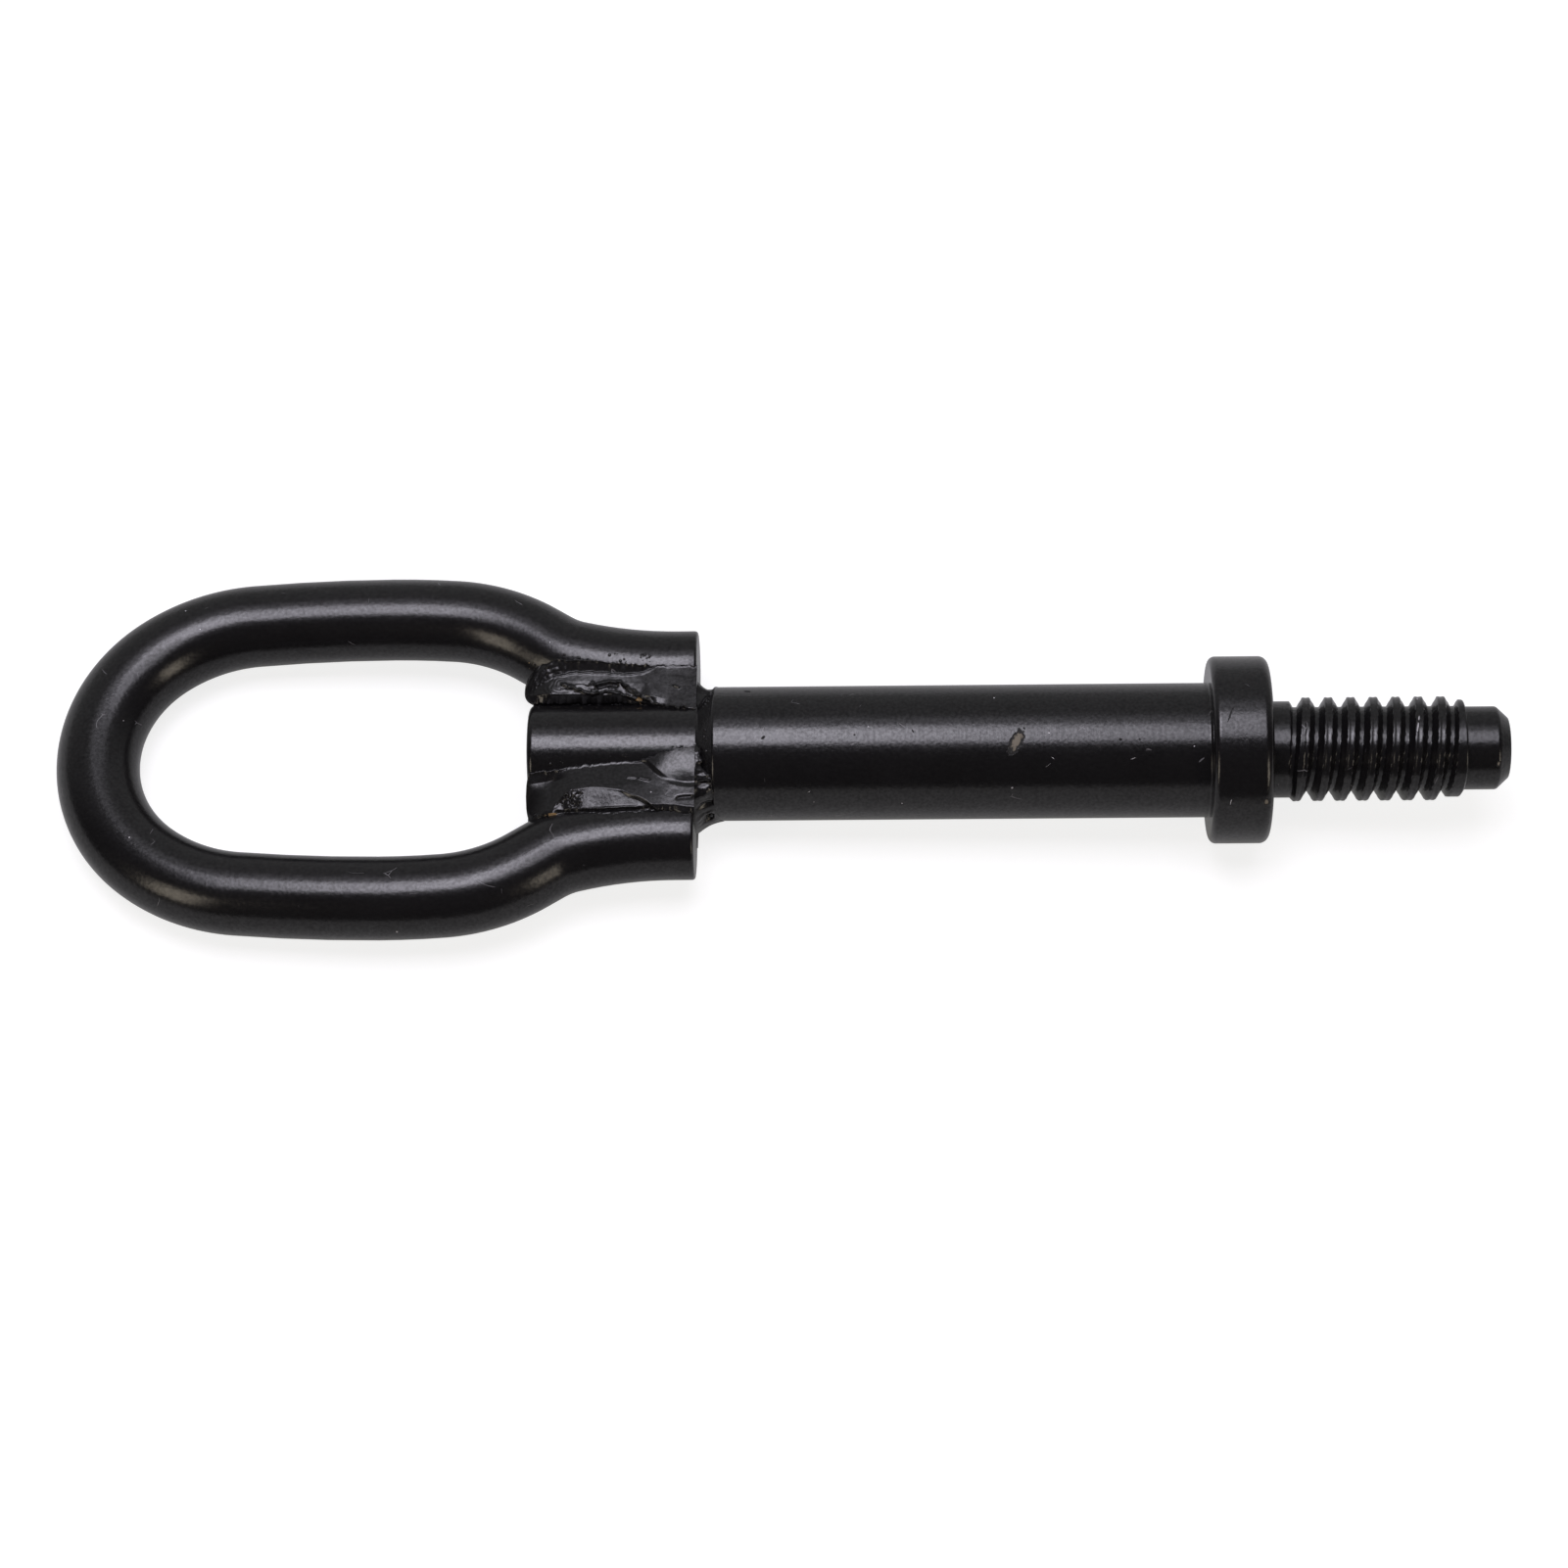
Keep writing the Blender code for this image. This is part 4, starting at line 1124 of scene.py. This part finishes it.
def add_camera():
    """Camera of the photo, from its fitted angles, distance and lens."""
    azimuth, elevation, roll = (math.radians(a) for a in (CAMERA_AZIMUTH, CAMERA_ELEVATION, CAMERA_ROLL))
    ahead = math.cos(elevation)
    forward = Vector((math.sin(azimuth) * ahead, math.cos(azimuth) * ahead, -math.sin(elevation)))
    level = Vector((math.cos(azimuth), -math.sin(azimuth), 0.0))
    upward = level.cross(forward)
    right = level * math.cos(roll) + upward * math.sin(roll)
    up = upward * math.cos(roll) - level * math.sin(roll)
    bpy.ops.object.camera_add()
    camera = bpy.context.object
    camera.matrix_world = Matrix.Translation(CAMERA_TARGET - forward * CAMERA_DISTANCE) @ Matrix(
        (right, up, -forward)
    ).transposed().to_4x4()
    camera.data.lens = CAMERA_LENS
    camera.data.sensor_width = SENSOR_WIDTH
    bpy.context.scene.camera = camera


# Softbox overhead, in layers of (height, near edge, far edge, left edge, right edge, radiance). Near and
# far are angles from the zenith as seen from the part, towards the far side positive. It is hottest over
# the welds and fades on the far side.
SOFTBOX = {
    "softbox": (1.0, -11.0, 18.5, -0.41, 0.36, 4.0),
    "softbox_middle": (0.98, -10.0, 16.5, -0.39, 0.04, 1.9),
    "softbox_tube": (0.96, -8.5, 14.0, -0.24, -0.04, 4.0),
    "softbox_fade": (1.02, 18.5, 34.0, -0.41, 0.36, 0.8),
}
SOFTBOX_TINT = "#f6f3ff"
# Side lamps: place on the right, then width, height, radiance and tint
SIDE_LAMP = (0.64, -0.62, 0.42)
SIDE_LAMP_FACE = (0.3, 0.46, 3.6, "#fff2de")


def area_light(name, centre, toward, size_x, size_y, radiance, colour):
    """A soft rectangular lamp whose face shows a given radiance."""
    bpy.ops.object.light_add(type="AREA", location=centre)
    lamp = bpy.context.object
    lamp.name = name
    lamp.rotation_euler = (Vector(toward) - Vector(centre)).to_track_quat("-Z", "Y").to_euler()
    lamp.data.shape = "RECTANGLE"
    lamp.data.size = size_x
    lamp.data.size_y = size_y
    lamp.data.color = linear(colour)[:3]
    lamp.data.energy = radiance * math.pi * size_x * size_y


def add_lights():
    """The softbox overhead and a warm lamp on each side."""
    for name, (high, near_angle, far_angle, left, right, radiance) in SOFTBOX.items():
        near, far = (high * math.tan(math.radians(angle)) for angle in (near_angle, far_angle))
        x, y = (left + right) / 2, (near + far) / 2
        area_light(name, (x, y, high), (x, y, 0.0), right - left, far - near, radiance, SOFTBOX_TINT)
    x, y, z = SIDE_LAMP
    for side in (-1, 1):
        area_light("side_lamp", (side * x, y, z), (0.0, 0.0, 0.0), *SIDE_LAMP_FACE)


def add_world():
    """Dark studio behind the camera, a pale wall on the far side."""
    world = bpy.data.worlds.new("studio")
    bpy.context.scene.world = world
    world.use_nodes = True
    background = world.node_tree.nodes["Background"]
    split = add_node(world, "SeparateXYZ", Vector=add_node(world, "TexCoord").outputs["Generated"])
    level = add_node(
        world, "MapRange", {"interpolation_type": "SMOOTHSTEP"}, Value=split.outputs["Y"],
        From_Min=-0.1, From_Max=0.75, To_Min=0.05, To_Max=0.36,
    )
    world.node_tree.links.new(level.outputs["Result"], background.inputs["Strength"])
    background.inputs["Color"].default_value = linear("#ffffff")


def add_floor():
    """Plain pale floor. It shows white to the camera, gets a smaller lift for gloss and for glass, and
    keeps the shadow.
    """
    bpy.ops.mesh.primitive_plane_add(size=12.0)
    floor = bpy.context.object
    floor.name = "floor"
    material, shader = new_material("matt_white_studio_board")
    shader.inputs["Base Color"].default_value = linear("#9c9c9c")
    shader.inputs["Roughness"].default_value = 0.9
    shader.inputs["IOR"].default_value = 1.2
    ray = add_node(material, "LightPath").outputs
    reflected = add_node(
        material, "Math", {"operation": "MAXIMUM"},
        input_0=ray["Is Glossy Ray"], input_1=ray["Is Transmission Ray"],
    )
    dimmer = add_node(material, "Math", {"operation": "MULTIPLY"}, input_0=reflected, input_1=0.25)
    lift = add_node(
        material, "Math", {"operation": "MULTIPLY_ADD"},
        input_0=ray["Is Camera Ray"], input_1=0.8, input_2=dimmer,
    )
    shader.inputs["Emission Color"].default_value = linear("#ffffff")
    material.node_tree.links.new(lift.outputs["Value"], shader.inputs["Emission Strength"])
    floor.data.materials.append(material)


add_camera()
build_object()
add_floor()
add_lights()
add_world()
bpy.context.scene.view_settings.view_transform = "Standard"
